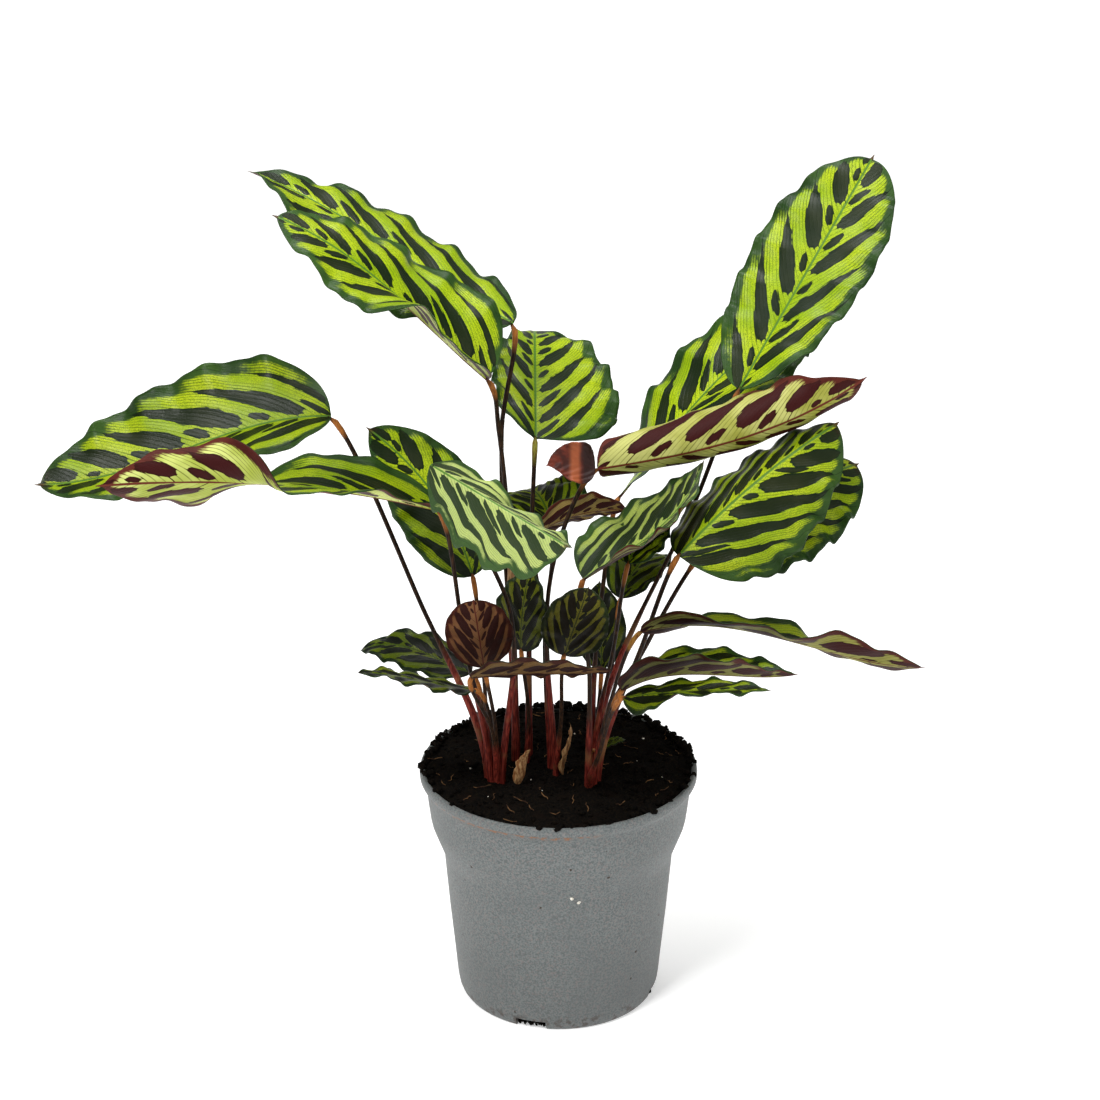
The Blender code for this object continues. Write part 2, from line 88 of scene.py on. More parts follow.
# Soil
SOIL_EDGE = 107.0
SOIL_MIDDLE = 108.0
MOUND_RADIUS = 57
SOIL_RADIUS = 57.9
SOIL_GAP = 0.3
SOIL_RINGS = 76
SOIL_SIDES = 180
SOIL_SEED = 7
CRUMB_COUNT = 620
SLOT_CRUMB_COUNT = 48
SLOT_CRUMB_SWING = 9
SLOT_CRUMB_RADIUS = (39.5, 42.8)
SLOT_CRUMB_SIZE = (0.7, 1.2)
SLOT_CRUMB_TOP = 3.2
RIM_CRUMB_COUNT = 330
RIM_CRUMB_RADIUS = (56.0, 59.8)
RIM_CRUMB_HEIGHT = 107.6
FIBRE_COUNT = 60
FIBRE_POINTS = 5
FIBRE_LENGTH = (2.0, 7.0)
FIBRE_LIFT = 1.6
FIBRE_LIMIT = 58.4

# White grains: those on the pot's wall by place, height and size, and those on the peat
GRAIN_SEED = 11
WALL_GRAINS = ((5.6, 70.0, 0.9), (8.6, 67.6, 1.0))
PEAT_GRAIN_COUNT = 9
PEAT_GRAIN_RADIUS = (15, 52)
PEAT_GRAIN_SIZE = (0.3, 0.7)

# Shoots and stalks
SHOOTS = {
    "left": (-26, -12), "back_left": (-15, 6), "middle": (-2, -5),
    "right": (12, 7), "front_right": (12, -16),
}
STALK_ROOT_HEIGHT = 104.0
STALK_FOOT = 98.0
STALK_RING = 4.4
STALK_RADIUS = 1.0
SHEATH_RADIUS = 2.1
SHEATH_SHARE = 0.42
SHEATH_TAPER = 0.55
JOINT_RADIUS = 1.3
JOINT_LENGTH = 11.0
JOINT_SWELL = 0.4
STALK_NECK = 1.5
ROUTE_STEPS = 60
STALK_STEPS = 44
STALK_SIDES = 14
STALK_SQUEEZE = 0.14
TINY_BLADE = 10
TINY_STALK_SHARE = 0.55
WRAP_HEIGHTS = (158, 206)
WRAP_RADIUS = 2.5
WRAP_SIDES = 16
WRAP_SQUEEZE = 0.2

# Blades
BLADE_THICKNESS = 0.36
RIB_HEIGHT = 0.75
RIB_REACH = 0.9
RIB_FULL_BLADE = 50
UPPER_RIB_SHARE = 0.25
BROWN_TIP_START = 0.965
BROWN_TIP_FADE = 0.03
STALK_END_SHARE = 0.03
BASE_POWER = 2.3
BASE_FULLNESS = 0.55
WAVE_POWER = 2.2
HAIR_TIP = 0.02
LARGE_BLADE = 40
LARGE_GRID = (110, 48)
SMALL_GRID = (64, 32)
LARGE_PITCH = 0.2
SMALL_PITCH = 0.27
VEIN_LEAN = 1.0
VEIN_BEND = 0.95
FINE_VEINS = 8.0

# Numbers that set the blades apart in their random waves and blotches
SCALE_NUMBER = 40
LOBE_NUMBER = 50
BLADE_VEINS = 40

# A leaf: its shoot, the base and tip of its midrib, how far the midrib bows up from its chord at one and
# two thirds, the full width, where along the blade that is, how blunt the tip is (smaller is rounder), by
# what share the right half is wider and the left one narrower than the mean, and how far the left side is
# lifted by the roll. left and right are (fold, curl) of the halves: fold is how far the half is lifted at
# the midrib, curl how far it turns up on its way to the margin. Angles are in degrees, evenly spaced from
# base to tip. wave is the height, count and phase of the margin's waves, and via a point on the stalk.
Leaf = namedtuple(
    "Leaf", "shoot base tip bow wide belly blunt skew roll left right wave via",
    defaults=(0.45, 0.75, 0, (0,), ((5,), (-10,)), ((5,), (-10,)), (1.0, 4, 0.0), None))

LEAVES = {
    "upper_left_back": Leaf(
        "back_left", (-19, 20, 303), (-130, 66, 355), bow=(1, 3), wide=62, roll=(-14,),
        left=((5, 5, 10, 45), (-20,)), right=((-4,), (-20,)), wave=(2.5, 5, 0.2), via=(-24, 13, 258)),
    "upper_left_front": Leaf(
        "back_left", (-29, -12, 289), (-112, -12, 357), bow=(3, 5), wide=62, belly=0.3, blunt=0.62,
        roll=(-62, -24, -14), left=((92, 62, 8, -5), (-15,)), right=((5,), (-20,)), wave=(1.7, 5, 0.1),
        via=(-25, 0, 263)),
    "left_upper": Leaf(
        "left", (-95, 8, 266), (-216, -4, 240), bow=(3, -2), wide=66, belly=0.34, blunt=0.58, roll=(-44,),
        left=((45, 48, 46), (-15,)), right=((8,), (-10,)), wave=(2.6, 5, 0.0), via=(-59, -5, 188)),
    "left_lower": Leaf(
        "left", (-49, -32, 240), (-175, -88, 272), bow=(5, 5), wide=52, skew=0.2,
        roll=(-18, -12, 5, 66, 80), left=((40, 34, 0, 8, 20), (-10, 0, 5, 120, 110)),
        right=((12, 2, -12, 12, 20), (0, 10, 55)), wave=(1.4, 5, 0.0), via=(-39, -26, 175)),
    "top_middle": Leaf(
        "back_left", (-10, 26, 250), (-11, 128, 265), bow=(6, 8), wide=57, belly=0.3, blunt=0.7, skew=0.33,
        roll=(20, 16, 8), left=((15, 8, 4), (-20,)), right=((8,), (-10,)), wave=(2.0, 5, 0.0),
        via=(-12, 12, 200)),
    "upper_right": Leaf(
        "right", (76, 24, 272.5), (137, 102, 352), bow=(0, 0), wide=54, belly=0.58, blunt=0.52, roll=(14,),
        left=((10,), (-10,)), right=((22, 12, 5), (-15,)), wave=(2.0, 6, 0.0), via=(62, 28, 229)),
    "upper_right_back": Leaf(
        "right", (26, 36, 219), (108, 112, 275), bow=(6, 8), wide=64, belly=0.6, blunt=0.6, roll=(9,),
        left=((-55, -8, 14), (-15,)), right=((55, 25, 8), (-20,)), wave=(2.3, 5, 0.0), via=(19, 18, 183)),
    "right_rolled": Leaf(
        "middle", (16, 0, 246), (125, 2, 284), bow=(-6, -7), wide=56, belly=0.34, blunt=0.8, roll=(-72,),
        left=((0,), (150, 140, 170)), right=((0,), (220, 160, 140)), wave=(1.6, 5, 0.0), via=(-2, -2, 205)),
    "right_front": Leaf(
        "front_right", (49, -30, 219), (115, 2, 265), bow=(3, 3), wide=67, belly=0.34, blunt=0.55,
        roll=(22,), left=((-30,), (-16,)), right=((-22,), (-25,)), wave=(2.2, 5, 0.0), via=(36, -15, 174)),
    "right_back": Leaf(
        "right", (60, -2, 208), (129, 42, 232), bow=(4, 4), wide=58, belly=0.5, blunt=0.5, roll=(22,),
        left=((-10,), (-20,)), right=((-10,), (-30,)), wave=(2.5, 5, 0.0), via=(39, -2, 169)),
    "middle_left": Leaf(
        "left", (-36, -14, 203), (-78, -8, 266), bow=(6, 6), wide=39, belly=0.42, blunt=0.7, roll=(-58,),
        left=((0,), (-20,)), right=((0,), (-20,)), wave=(2.0, 5, 0.0), via=(-32, -13, 159)),
    "middle_front_pale": Leaf(
        "left", (-51, -54, 268), (3, -98, 251), bow=(0, 0), wide=47, belly=0.62, blunt=0.6,
        left=((0, -28, -30), (0,)), right=((-66,), (-10,)), wave=(2.5, 4, 0.0), via=(-20, -28, 192)),
    "middle_right_folded": Leaf(
        "front_right", (10, -24, 206), (60, -4, 250), bow=(-6, -8), wide=62, belly=0.42, blunt=0.8,
        roll=(15, 0, -10), left=((0,), (0,)), right=((43, 20, 10), (20,)), wave=(1.5, 4, 0.0),
        via=(13, -22, 159)),
    "middle_brown": Leaf(
        "middle", (-10, 10, 213), (29, 24, 218), bow=(3, 3), wide=20, blunt=0.8, roll=(-60,),
        left=((10,), (20,)), right=((10,), (20,)), wave=(0.8, 3, 0.0), via=(-5, 4, 166)),
    "middle_back_left": Leaf(
        "middle", (-2, 24, 209), (-17, 66, 208), bow=(8, 8), wide=42, blunt=0.7, roll=(-8,),
        wave=(2.0, 4, 0.0), via=(-6, 8, 164)),
    "middle_back_right": Leaf(
        "right", (29, -12, 208), (43, 10, 222), bow=(2, 2), wide=24, blunt=0.7, wave=(1.0, 4, 0.0),
        via=(24, -4, 169)),
    "under_right": Leaf(
        "right", (27, 23, 177), (46, 58, 183), bow=(6, 6), wide=26, blunt=0.7, wave=(1.2, 4, 0.0),
        via=(22, 14, 137)),
    "inner_front": Leaf(
        "middle", (2, -37, 177), (12, -36, 207), bow=(0, 0), wide=28, blunt=0.6, roll=(90,),
        left=((5,), (0,)), right=((5,), (0,)), via=(1, -20, 139)),
    "inner_left": Leaf(
        "back_left", (-16, -8, 166), (-12, -2, 201), bow=(2, 2), wide=26, left=((5,), (0,)),
        right=((5,), (0,)), via=(-13, -2, 134)),
    "inner_right": Leaf(
        "right", (19, 26, 142), (18, 36, 179), bow=(2, 2), wide=22, blunt=0.8, left=((5,), (0,)),
        right=((5,), (0,)), wave=(0.8, 4, 0.0), via=(17, 15, 123)),
    "inner_round": Leaf(
        "left", (-31, -38, 172), (-35, -42, 204), bow=(0, 0), wide=28, belly=0.5, blunt=0.5, roll=(45,),
        left=((5,), (0,)), right=((5,), (0,)), wave=(0.6, 4, 0.0), via=(-27, -27, 141)),
    "low_left_back": Leaf(
        "left", (-38, 6, 149), (-87, 30, 149), bow=(4, 6), wide=27, roll=(-12,), wave=(1.2, 4, 0.0),
        via=(-31, -3, 127)),
    "low_left_front": Leaf(
        "left", (-35, -32, 159), (-82, -54, 177), bow=(0, 1), wide=22, roll=(5,), wave=(1.2, 4, 0.0),
        via=(-28, -20, 133)),
    "low_front": Leaf(
        "left", (-36, -52, 174), (21, -68, 185), bow=(1, 0), wide=26, roll=(-38,), left=((5,), (10,)),
        right=((5,), (10,)), via=(-28, -31, 139)),
    "low_right_long": Leaf(
        "front_right", (34, -26, 183), (150, -40, 173), bow=(7, 2), wide=32, belly=0.55, blunt=0.7,
        roll=(-60, -22, -16, -48, -45), left=((5,), (30,)), right=((5,), (20,)), wave=(1.4, 4, 0.2),
        via=(20, -24, 142)),
    "low_right_back": Leaf(
        "front_right", (26, -47, 166), (96, -60, 179), bow=(5, 2), wide=40, belly=0.4, blunt=0.9,
        left=((14,), (-10,)), right=((50,), (-10,)), wave=(1.2, 4, 0.0), via=(17, -34, 130)),
    "low_right_front": Leaf(
        "front_right", (26, -64, 171), (83, -90, 186), bow=(1, 1), wide=26, belly=0.4, blunt=0.9,
        right=((-35, 20, 15), (-10,)), via=(16, -40, 130)),
    "soil_tip": Leaf(
        "right", (19, -4, 118), (29, 0, 120), bow=(1, 1), wide=7, left=((5,), (0,)), right=((5,), (0,)),
        wave=(0.2, 3, 0.0), via=(15, 1, 114)),
}

# Dried scales that stand on the soil in front of the shoots, with the same form as a leaf but no stalk
SCALES = {
    "left": Leaf(
        None, (-17, -20, 108.6), (-12, -24, 127.4), bow=(0, 1), wide=9, belly=0.3, blunt=0.8,
        left=((5,), (50,)), right=((5,), (50,)), wave=(0.3, 3, 0.0)),
    "middle": Leaf(
        None, (2, -12, 109), (5, -13, 134), bow=(0, -1), wide=6, belly=0.3, blunt=0.8, left=((5,), (50,)),
        right=((5,), (50,)), wave=(0.3, 3, 0.3)),
}

# Burgundy lobe folded back at the base of a blade, with the same form as a leaf
LOBES = {
    "right_rolled": Leaf(
        None, (15.2, -1.6, 247.2), (-5, -5, 249), bow=(1, 2), wide=19, belly=0.36, blunt=1.1, roll=(-60,),
        left=((5,), (35,)), right=((5,), (35,)), wave=(0.5, 3, 0.0)),
}

# Shares of pallor and painted sheen, of brown and of extra blotch that tint single leaves
TINTS = {
    "middle_front_pale": (0.5, 0, 0.3), "middle_right_folded": (0.3, 0, 0.9), "middle_brown": (0, 0.7, 0.6),
    "inner_front": (0, 0.7, 0.9), "inner_left": (0, 0.4, 1.0), "inner_right": (0, 0.2, 1.0),
    "inner_round": (0, 1.0, 1.0), "right_rolled": (0, 0.2, 0.3), "low_right_long": (0, 0.2, 0.7),
    "low_front": (0, 0.9, 0.6), "low_left_front": (0, 0.2, 0.9), "low_right_back": (0, 0.1, 1.0),
    "low_right_front": (0, 0.1, 0.9), "left_upper": (0, 0.1, 0.3), "right_front": (0, 0.1, 0.6),
    "low_left_back": (0, 0.1, 0.8), "right_back": (0, 0, 0.2), "middle_left": (0, 0, 0.5),
    "middle_back_right": (0, 0, 0.5), "middle_back_left": (0, 0.1, 0.4),
}

# Width of the large blotches from the midrib (0) to the margin (1), as shares of their widest
UPPER_BLOTCH = ((0.04, 0.0), (0.1, 0.55), (0.22, 0.95), (0.38, 1.0), (0.56, 0.8), (0.72, 0.42), (0.86, 0.0))
UNDER_BLOTCH = ((0.14, 0.0), (0.22, 0.65), (0.34, 0.95), (0.48, 1.0), (0.62, 0.8), (0.76, 0.4), (0.88, 0.0))

# Where the leaves darken: by height, and by distance from the middle to either side
SHADE_HEIGHT = (240.0, 165.0)
SHADE_SIDE = (110.0, 20.0)

# Joint colours that differ from the common orange-brown: share of green
GREEN_JOINTS = {"top_middle": 0.8, "low_right_long": 0.2}


def srgb(red, green, blue):
    """A linear colour from values of 0 to 255."""
    return tuple(((v / 255 + 0.055) / 1.055) ** 2.4 for v in (red, green, blue)) + (1,)


class Graph:
    """Short calls that wire the nodes of one material."""

    def __init__(self, name):
        self.material = bpy.data.materials.new(name)
        self.material.use_nodes = True
        self.nodes = self.material.node_tree.nodes
        self.links = self.material.node_tree.links
        self.shader = self.nodes["Principled BSDF"]

    def put(self, socket, value):
        if isinstance(value, bpy.types.NodeSocket):
            self.links.new(value, socket)
        else:
            socket.default_value = value

    def node(self, kind, *values, **settings):
        node = self.nodes.new(kind)
        for key, value in settings.items():
            setattr(node, key, value)
        for socket, value in zip(node.inputs, values):
            if value is not None:
                self.put(socket, value)
        return node

    def math(self, operation, first, second=0.0, third=0.0):
        return self.node("ShaderNodeMath", first, second, third, operation=operation).outputs[0]

    def plus(self, first, second):
        return self.math("ADD", first, second)

    def minus(self, first, second):
        return self.math("SUBTRACT", first, second)

    def times(self, first, second):
        return self.math("MULTIPLY", first, second)

    def linear(self, value, factor, added):
        return self.math("MULTIPLY_ADD", value, factor, added)

    def step(self, value, low, high):
        """0 below low and 1 above high, or the other way round where low is the larger."""
        return self.node("ShaderNodeMapRange", value, low, high, interpolation_type="SMOOTHSTEP").outputs[0]

    def mix(self, share, first, second, blend="MIX"):
        """A mix of two colours, each a socket or red, green and blue values of 0 to 255."""
        node = self.node("ShaderNodeMix", share, data_type="RGBA", blend_type=blend)
        for number, colour in ((6, first), (7, second)):
            self.put(node.inputs[number], srgb(*colour) if isinstance(colour, tuple) else colour)
        return node.outputs[2]

    def blend(self, value, low, high, first, second):
        """The first colour where the value is at low, and the second where it is at high."""
        return self.mix(self.step(value, low, high), first, second)

    def ramp(self, value, *points):
        node = self.node("ShaderNodeValToRGB", value)
        node.color_ramp.interpolation = "EASE"
        while len(node.color_ramp.elements) < len(points):
            node.color_ramp.elements.new(0.5)
        for element, (place, grey) in zip(node.color_ramp.elements, points):
            element.position = place
            element.color = (grey, grey, grey, 1)
        return node.outputs[0]

    def uv(self, name):
        node = self.node("ShaderNodeUVMap", uv_map=name)
        parts = self.node("ShaderNodeSeparateXYZ", node.outputs[0])
        return parts.outputs[0], parts.outputs[1]

    def attribute(self, name):
        node = self.node("ShaderNodeAttribute", attribute_name=name)
        return self.node("ShaderNodeSeparateColor", node.outputs[0]).outputs

    def place(self, scale=(1, 1, 1)):
        """Object coordinates in millimetres, stretched by scale."""
        node = self.node("ShaderNodeTexCoord")
        size = tuple(v / MM for v in scale)
        sized = self.node("ShaderNodeVectorMath", node.outputs["Object"], size, operation="MULTIPLY")
        return sized.outputs[0]

    def noise(self, scale, detail, roughness=0.5, vector=None):
        vector = self.place() if vector is None else vector
        return self.node("ShaderNodeTexNoise", vector, None, scale, detail, roughness).outputs[0]

    def white(self, value):
        node = self.node("ShaderNodeTexWhiteNoise", noise_dimensions="1D")
        self.put(node.inputs["W"], value)
        return node.outputs[0]

    def bump(self, height, distance, strength=1.0):
        node = self.node("ShaderNodeBump")
        node.inputs["Strength"].default_value = strength
        node.inputs["Distance"].default_value = distance * MM
        self.put(node.inputs["Height"], height)
        self.put(self.shader.inputs["Normal"], node.outputs[0])

    def finish(self, colour, roughness, specular=0.5):
        self.put(self.shader.inputs["Base Color"], colour)
        self.put(self.shader.inputs["Roughness"], roughness)
        self.shader.inputs["Specular IOR Level"].default_value = specular
        return self.material


def blade_masks(graph, shape_points, dark):
    """Shares of blotch, its middle, margin, fine vein and midrib on a blade, and the comb of the veins."""
    vein, across = graph.uv("vein")
    edge, run = graph.uv("reach")
    away = graph.math("ABSOLUTE", across)
    wobble = graph.minus(graph.noise(0.12, 3.0), 0.5)
    place = graph.linear(wobble, 0.2, vein)

    index = graph.math("FLOOR", graph.plus(place, 0.5))
    beside = graph.math("ABSOLUTE", graph.minus(place, index))
    chance = graph.white(index)
    stretch = graph.linear(graph.white(graph.plus(index, 0.71)), 0.24, 0.86)
    shape = graph.ramp(graph.math("DIVIDE", away, stretch), *shape_points)
    size = graph.linear(chance, 0.09, 0.24)
    size = graph.linear(dark, 0.16, size)
    large = graph.minus(beside, graph.times(size, shape))

    between = graph.math("FLOOR", place)
    beside_small = graph.math("ABSOLUTE", graph.minus(graph.minus(place, between), 0.5))
    small_chance = graph.white(graph.plus(between, 0.37))
    reach = graph.linear(small_chance, 0.15, 0.05)
    off = graph.math("DIVIDE", graph.minus(graph.minus(away, 0.04), reach), reach)
    bulge = graph.math("SQRT", graph.math("MAXIMUM", graph.minus(1.0, graph.times(off, off)), 0.0))
    small = graph.minus(beside_small, graph.times(bulge, 0.13))
    small = graph.plus(small, graph.math("LESS_THAN", bulge, 0.01))

    comb = graph.math("FRACT", graph.times(vein, FINE_VEINS))
    comb = graph.times(graph.math("ABSOLUTE", graph.minus(comb, 0.5)), 2.0)
    inside = graph.math("MINIMUM", large, small)
    fringe = graph.linear(graph.step(comb, 0.5, 1.0), -0.03, inside)
    blotch = graph.step(fringe, 0.0, -0.02)
    middle = graph.step(inside, -0.02, -0.11)

    swing = graph.math("COSINE", graph.times(place, math.tau))
    frayed = graph.noise(0.5, 2.0)
    band = graph.linear(swing, 0.055, 0.12)
    band = graph.linear(frayed, 0.09, band)
    band = graph.linear(graph.step(comb, 0.55, 1.0), 0.06, band)
    margin = graph.step(graph.minus(edge, band), 0.03, -0.05)

    strip = graph.math("FLOOR", graph.times(vein, FINE_VEINS))
    thread = graph.node("ShaderNodeCombineXYZ", strip, graph.times(away, 2.5)).outputs[0]
    strength = graph.step(graph.noise(0.9, 1.0, vector=thread), 0.3, 0.6)
    close = graph.step(inside, 0.16, 0.02)
    outer = graph.step(away, 0.25, 0.8)
    strength = graph.times(strength, graph.linear(graph.plus(close, outer), 0.35, 0.5))
    line = graph.times(graph.step(comb, 0.7, 0.9), strength)
    rib = graph.step(run, 0.026, 0.012)
    return blotch, middle, margin, line, rib, comb


def blade_relief(graph, comb, rib):
    """A shallow relief of fine veins with the midrib."""
    grain = graph.noise(1.6, 3.0)
    height = graph.linear(graph.step(comb, 0.6, 1.0), -0.5, grain)
    height = graph.linear(rib, -0.8, height)
    graph.bump(height, 0.12, 0.8)


def shaded(graph, colour):
    """Darker, greener leaves low in the middle of the plant, where little light reaches."""
    side, _, height = graph.node("ShaderNodeSeparateXYZ", graph.place()).outputs[:3]
    low = graph.step(height, *SHADE_HEIGHT)
    inner = graph.step(graph.math("ABSOLUTE", side), *SHADE_SIDE)
    share = graph.times(low, graph.linear(inner, 0.55, 0.25))
    return graph.mix(share, colour, (70, 70, 44), "MULTIPLY")


def make_upper_finish():
    graph = Graph("leaf_upper")
    pallor_and_sheen, brown, dark_share = graph.attribute("tint")[:3]
    blotch, middle, margin, line, rib, comb = blade_masks(graph, UPPER_BLOTCH, dark_share)
    cloud = graph.noise(0.05, 3.0)
    weave = graph.noise(2.4, 2.0)

    lime = graph.blend(cloud, 0.35, 0.65, (138, 166, 4), (172, 190, 24))
    lime = graph.blend(weave, 0.42, 0.66, lime, (112, 138, 6))
    lime = graph.mix(pallor_and_sheen, lime, (204, 214, 150))
    lime = graph.mix(graph.times(brown, 0.75), lime, (128, 78, 58))
    colour = graph.mix(line, lime, (46, 74, 8))
    dark = graph.blend(cloud, 0.4, 0.7, (18, 32, 8), (34, 42, 18))
    dark = graph.mix(graph.times(brown, 0.8), dark, (42, 18, 12))
    spot = graph.mix(middle, (10, 28, 4), dark)
    border = graph.blend(cloud, 0.35, 0.7, (30, 56, 18), (52, 82, 30))
    border = graph.mix(graph.times(brown, 0.5), border, (60, 44, 28))
    colour = graph.mix(margin, colour, border)
    colour = graph.mix(blotch, colour, spot)
    colour = graph.mix(rib, colour, graph.mix(brown, (76, 116, 34), (80, 60, 34)))
    # Painted sheen: the whole leaf is washed towards a pale grey-green by its pallor share
    colour = graph.mix(graph.times(pallor_and_sheen, 0.2), colour, (120, 146, 100))
    colour = shaded(graph, colour)
    blade_relief(graph, comb, rib)
    roughness = graph.linear(weave, 0.16, 0.28)
    return graph.finish(colour, roughness, 0.15)


def make_under_finish():
    graph = Graph("leaf_under")
    brown, dark_share = graph.attribute("tint")[1:3]
    blotch, middle, margin, line, rib, comb = blade_masks(graph, UNDER_BLOTCH, dark_share)
    cloud = graph.noise(0.05, 3.0)
    weave = graph.noise(2.4, 2.0)

    pale = graph.blend(cloud, 0.35, 0.65, (158, 170, 66), (202, 210, 122))
    pale = graph.mix(graph.times(dark_share, 0.6), pale, (92, 84, 44))
    pale = graph.mix(graph.times(brown, 0.7), pale, (148, 66, 58))
    colour = graph.mix(line, pale, (80, 84, 28))
    spot = graph.mix(middle, (46, 12, 6), (54, 14, 14))
    spot = graph.mix(graph.times(brown, 0.8), spot, (56, 20, 12))
    border = graph.blend(cloud, 0.3, 0.7, (62, 20, 16), (90, 38, 28))
    border = graph.mix(graph.times(brown, 0.8), border, (78, 32, 18))
    colour = graph.mix(margin, colour, border)
    colour = graph.mix(blotch, colour, spot)
    colour = graph.mix(rib, colour, (100, 42, 30))
    colour = shaded(graph, colour)
    blade_relief(graph, comb, rib)
    roughness = graph.linear(weave, 0.14, 0.46)
    return graph.finish(colour, roughness, 0.1)


def make_stalk_finish():
    graph = Graph("stalk")
    sheath, joint, green = graph.attribute("part")[:3]
    streak = graph.noise(1.5, 3.0, vector=graph.place((1, 1, 0.12)))
    cloud = graph.noise(0.08, 2.0)
    petiole = graph.blend(streak, 0.4, 0.7, (26, 17, 12), (64, 42, 26))
    wrap = graph.blend(streak, 0.35, 0.7, (76, 20, 16), (138, 56, 44))
    wrap = graph.blend(cloud, 0.5, 0.7, wrap, (120, 82, 52))
    colour = graph.mix(sheath, petiole, wrap)
    orange = graph.mix(green, (158, 98, 44), (140, 150, 60))
    orange = graph.blend(streak, 0.4, 0.75, orange, (112, 66, 34))
    colour = graph.mix(joint, colour, orange)
    graph.bump(streak, 0.15, 0.6)
    return graph.finish(colour, graph.linear(streak, 0.2, 0.36), 0.1)


def make_lobe_finish():
    """Burgundy underside of a folded lobe, dark towards the blade, with an orange band."""
    graph = Graph("leaf_lobe")
    cloud = graph.noise(0.25, 3.0)
    side = graph.node("ShaderNodeSeparateXYZ", graph.place()).outputs[0]
    band = graph.times(graph.step(side, 3.5, 6.0), graph.step(side, 10.0, 7.5))
    colour = graph.blend(cloud, 0.35, 0.65, (58, 20, 12), (104, 40, 24))
    colour = graph.mix(graph.times(band, 0.6), colour, (176, 96, 56))
    colour = graph.blend(side, 8.0, 11.0, colour, (40, 16, 12))
    graph.bump(cloud, 0.3)
    return graph.finish(colour, graph.linear(cloud, 0.2, 0.4), 0.25)


def make_pot_finish():
    graph = Graph("grey_plastic")
    place = graph.place()
    side, _, height = graph.node("ShaderNodeSeparateXYZ", place).outputs[:3]
    speck = graph.noise(1.3, 2.0)
    warm = graph.noise(0.9, 1.0)
    cloud = graph.noise(0.03, 3.0)
    grey = graph.blend(speck, 0.35, 0.65, (84, 90, 90), (112, 117, 116))
    grey = graph.mix(graph.times(graph.step(warm, 0.5, 0.7), 0.35), grey, (134, 116, 112))
    grey = graph.mix(graph.times(graph.step(cloud, 0.45, 0.7), 0.35), grey, (94, 98, 98))
    # Painted shade: the grey darkens towards the bottom of the pot
    grey = graph.mix(graph.times(graph.step(height, 70.0, 5.0), 0.25), grey, (84, 86, 85))

    cells = graph.node("ShaderNodeTexVoronoi")
    graph.put(cells.inputs["Vector"], place)
    cells.inputs["Scale"].default_value = 0.085
    kept = graph.node("ShaderNodeSeparateColor", cells.outputs["Color"]).outputs[0]
    ragged = graph.linear(speck, 0.12, cells.outputs["Distance"])
    dots = graph.times(graph.step(ragged, 0.125, 0.1), graph.math("GREATER_THAN", kept, 0.35))
    colour = graph.mix(dots, grey, (50, 36, 26))

    smear = graph.times(graph.step(height, 101.4, 102.6), graph.step(height, 104.6, 103.6))
    smear = graph.times(smear, graph.step(side, 22.0, 6.0))
    smear = graph.times(smear, graph.step(graph.noise(0.35, 3.0), 0.5, 0.58))
    colour = graph.mix(graph.times(smear, 0.85), colour, (140, 84, 34))
    foot = graph.times(graph.step(height, 9.0, 3.0), graph.step(graph.noise(0.3, 4.0), 0.52, 0.62))
    colour = graph.mix(graph.times(foot, 0.7), colour, (60, 44, 34))
    graph.bump(speck, 0.06, 0.5)
    return graph.finish(colour, graph.linear(cloud, 0.2, 0.45), 0.4)


def make_peat_finish():
    graph = Graph("peat")
    grain = graph.noise(0.9, 4.0, 0.7)
    patch = graph.noise(0.12, 3.0)
    colour = graph.blend(grain, 0.4, 0.7, (6, 5, 4), (26, 20, 14))
    colour = graph.blend(patch, 0.52, 0.7, colour, (18, 12, 8))
    graph.bump(grain, 0.8)
    return graph.finish(colour, graph.linear(grain, 0.1, 0.88), 0.06)


def make_grainy_finish(name, grain, limits, first, second, relief, rough, specular, stretch=1):
    """One colour that breaks into another by a grain, which also gives the relief and the roughness."""
    graph = Graph(name)
    share = graph.noise(*grain, vector=graph.place((1, 1, stretch)))
    graph.bump(share, relief)
    return graph.finish(graph.blend(share, *limits, first, second), graph.linear(share, *rough), specular)


def unit(vector):
    return vector / np.linalg.norm(vector)


def eased(values, s):
    """Value at s among evenly spaced ones, with a soft change from each to the next."""
    if len(values) == 1:
        return values[0]
    place = min(s, 0.999999) * (len(values) - 1)
    low = int(place)
    share = (1 - math.cos(math.pi * (place - low))) / 2
    return values[low] * (1 - share) + values[low + 1] * share


def midrib(leaf):
    """Four evenly spaced points of the midrib, and the level direction to its left."""
    base, tip = np.array(leaf.base, float), np.array(leaf.tip, float)
    along = unit(tip - base)
    left = unit(np.cross((0, 0, 1), along))
    up = np.cross(along, left)
    inner = [base + (tip - base) * (i + 1) / 3 + up * leaf.bow[i] for i in (0, 1)]
    return [base, *inner, tip], left


def through(four, s):
    """Point and direction at s on the cubic through four evenly spaced points."""
    knots = (0.0, 1 / 3, 2 / 3, 1.0)
    point = np.zeros(3)
    slope = np.zeros(3)
    for i, knot in enumerate(knots):
        others = [k for k in knots if k != knot]
        scale = math.prod(knot - k for k in others)
        a, b, c = (s - k for k in others)
        point += four[i] * a * b * c / scale
        slope += four[i] * (a * b + b * c + a * c) / scale
    return point, unit(slope)


def breadth(leaf, s):
    """Share of the full width at s: round at the base, pointed at the tip, with a hair past it."""
    if s < leaf.belly:
        share = (1 - (1 - s / leaf.belly) ** BASE_POWER) ** BASE_FULLNESS
    elif s < 1:
        share = (1 - ((s - leaf.belly) / (1 - leaf.belly)) ** 2) ** leaf.blunt
    else:
        share = 0
    return max(share, STALK_END_SHARE * min(1, max(0.2, (1 + HAIR_TIP - s) / HAIR_TIP)))


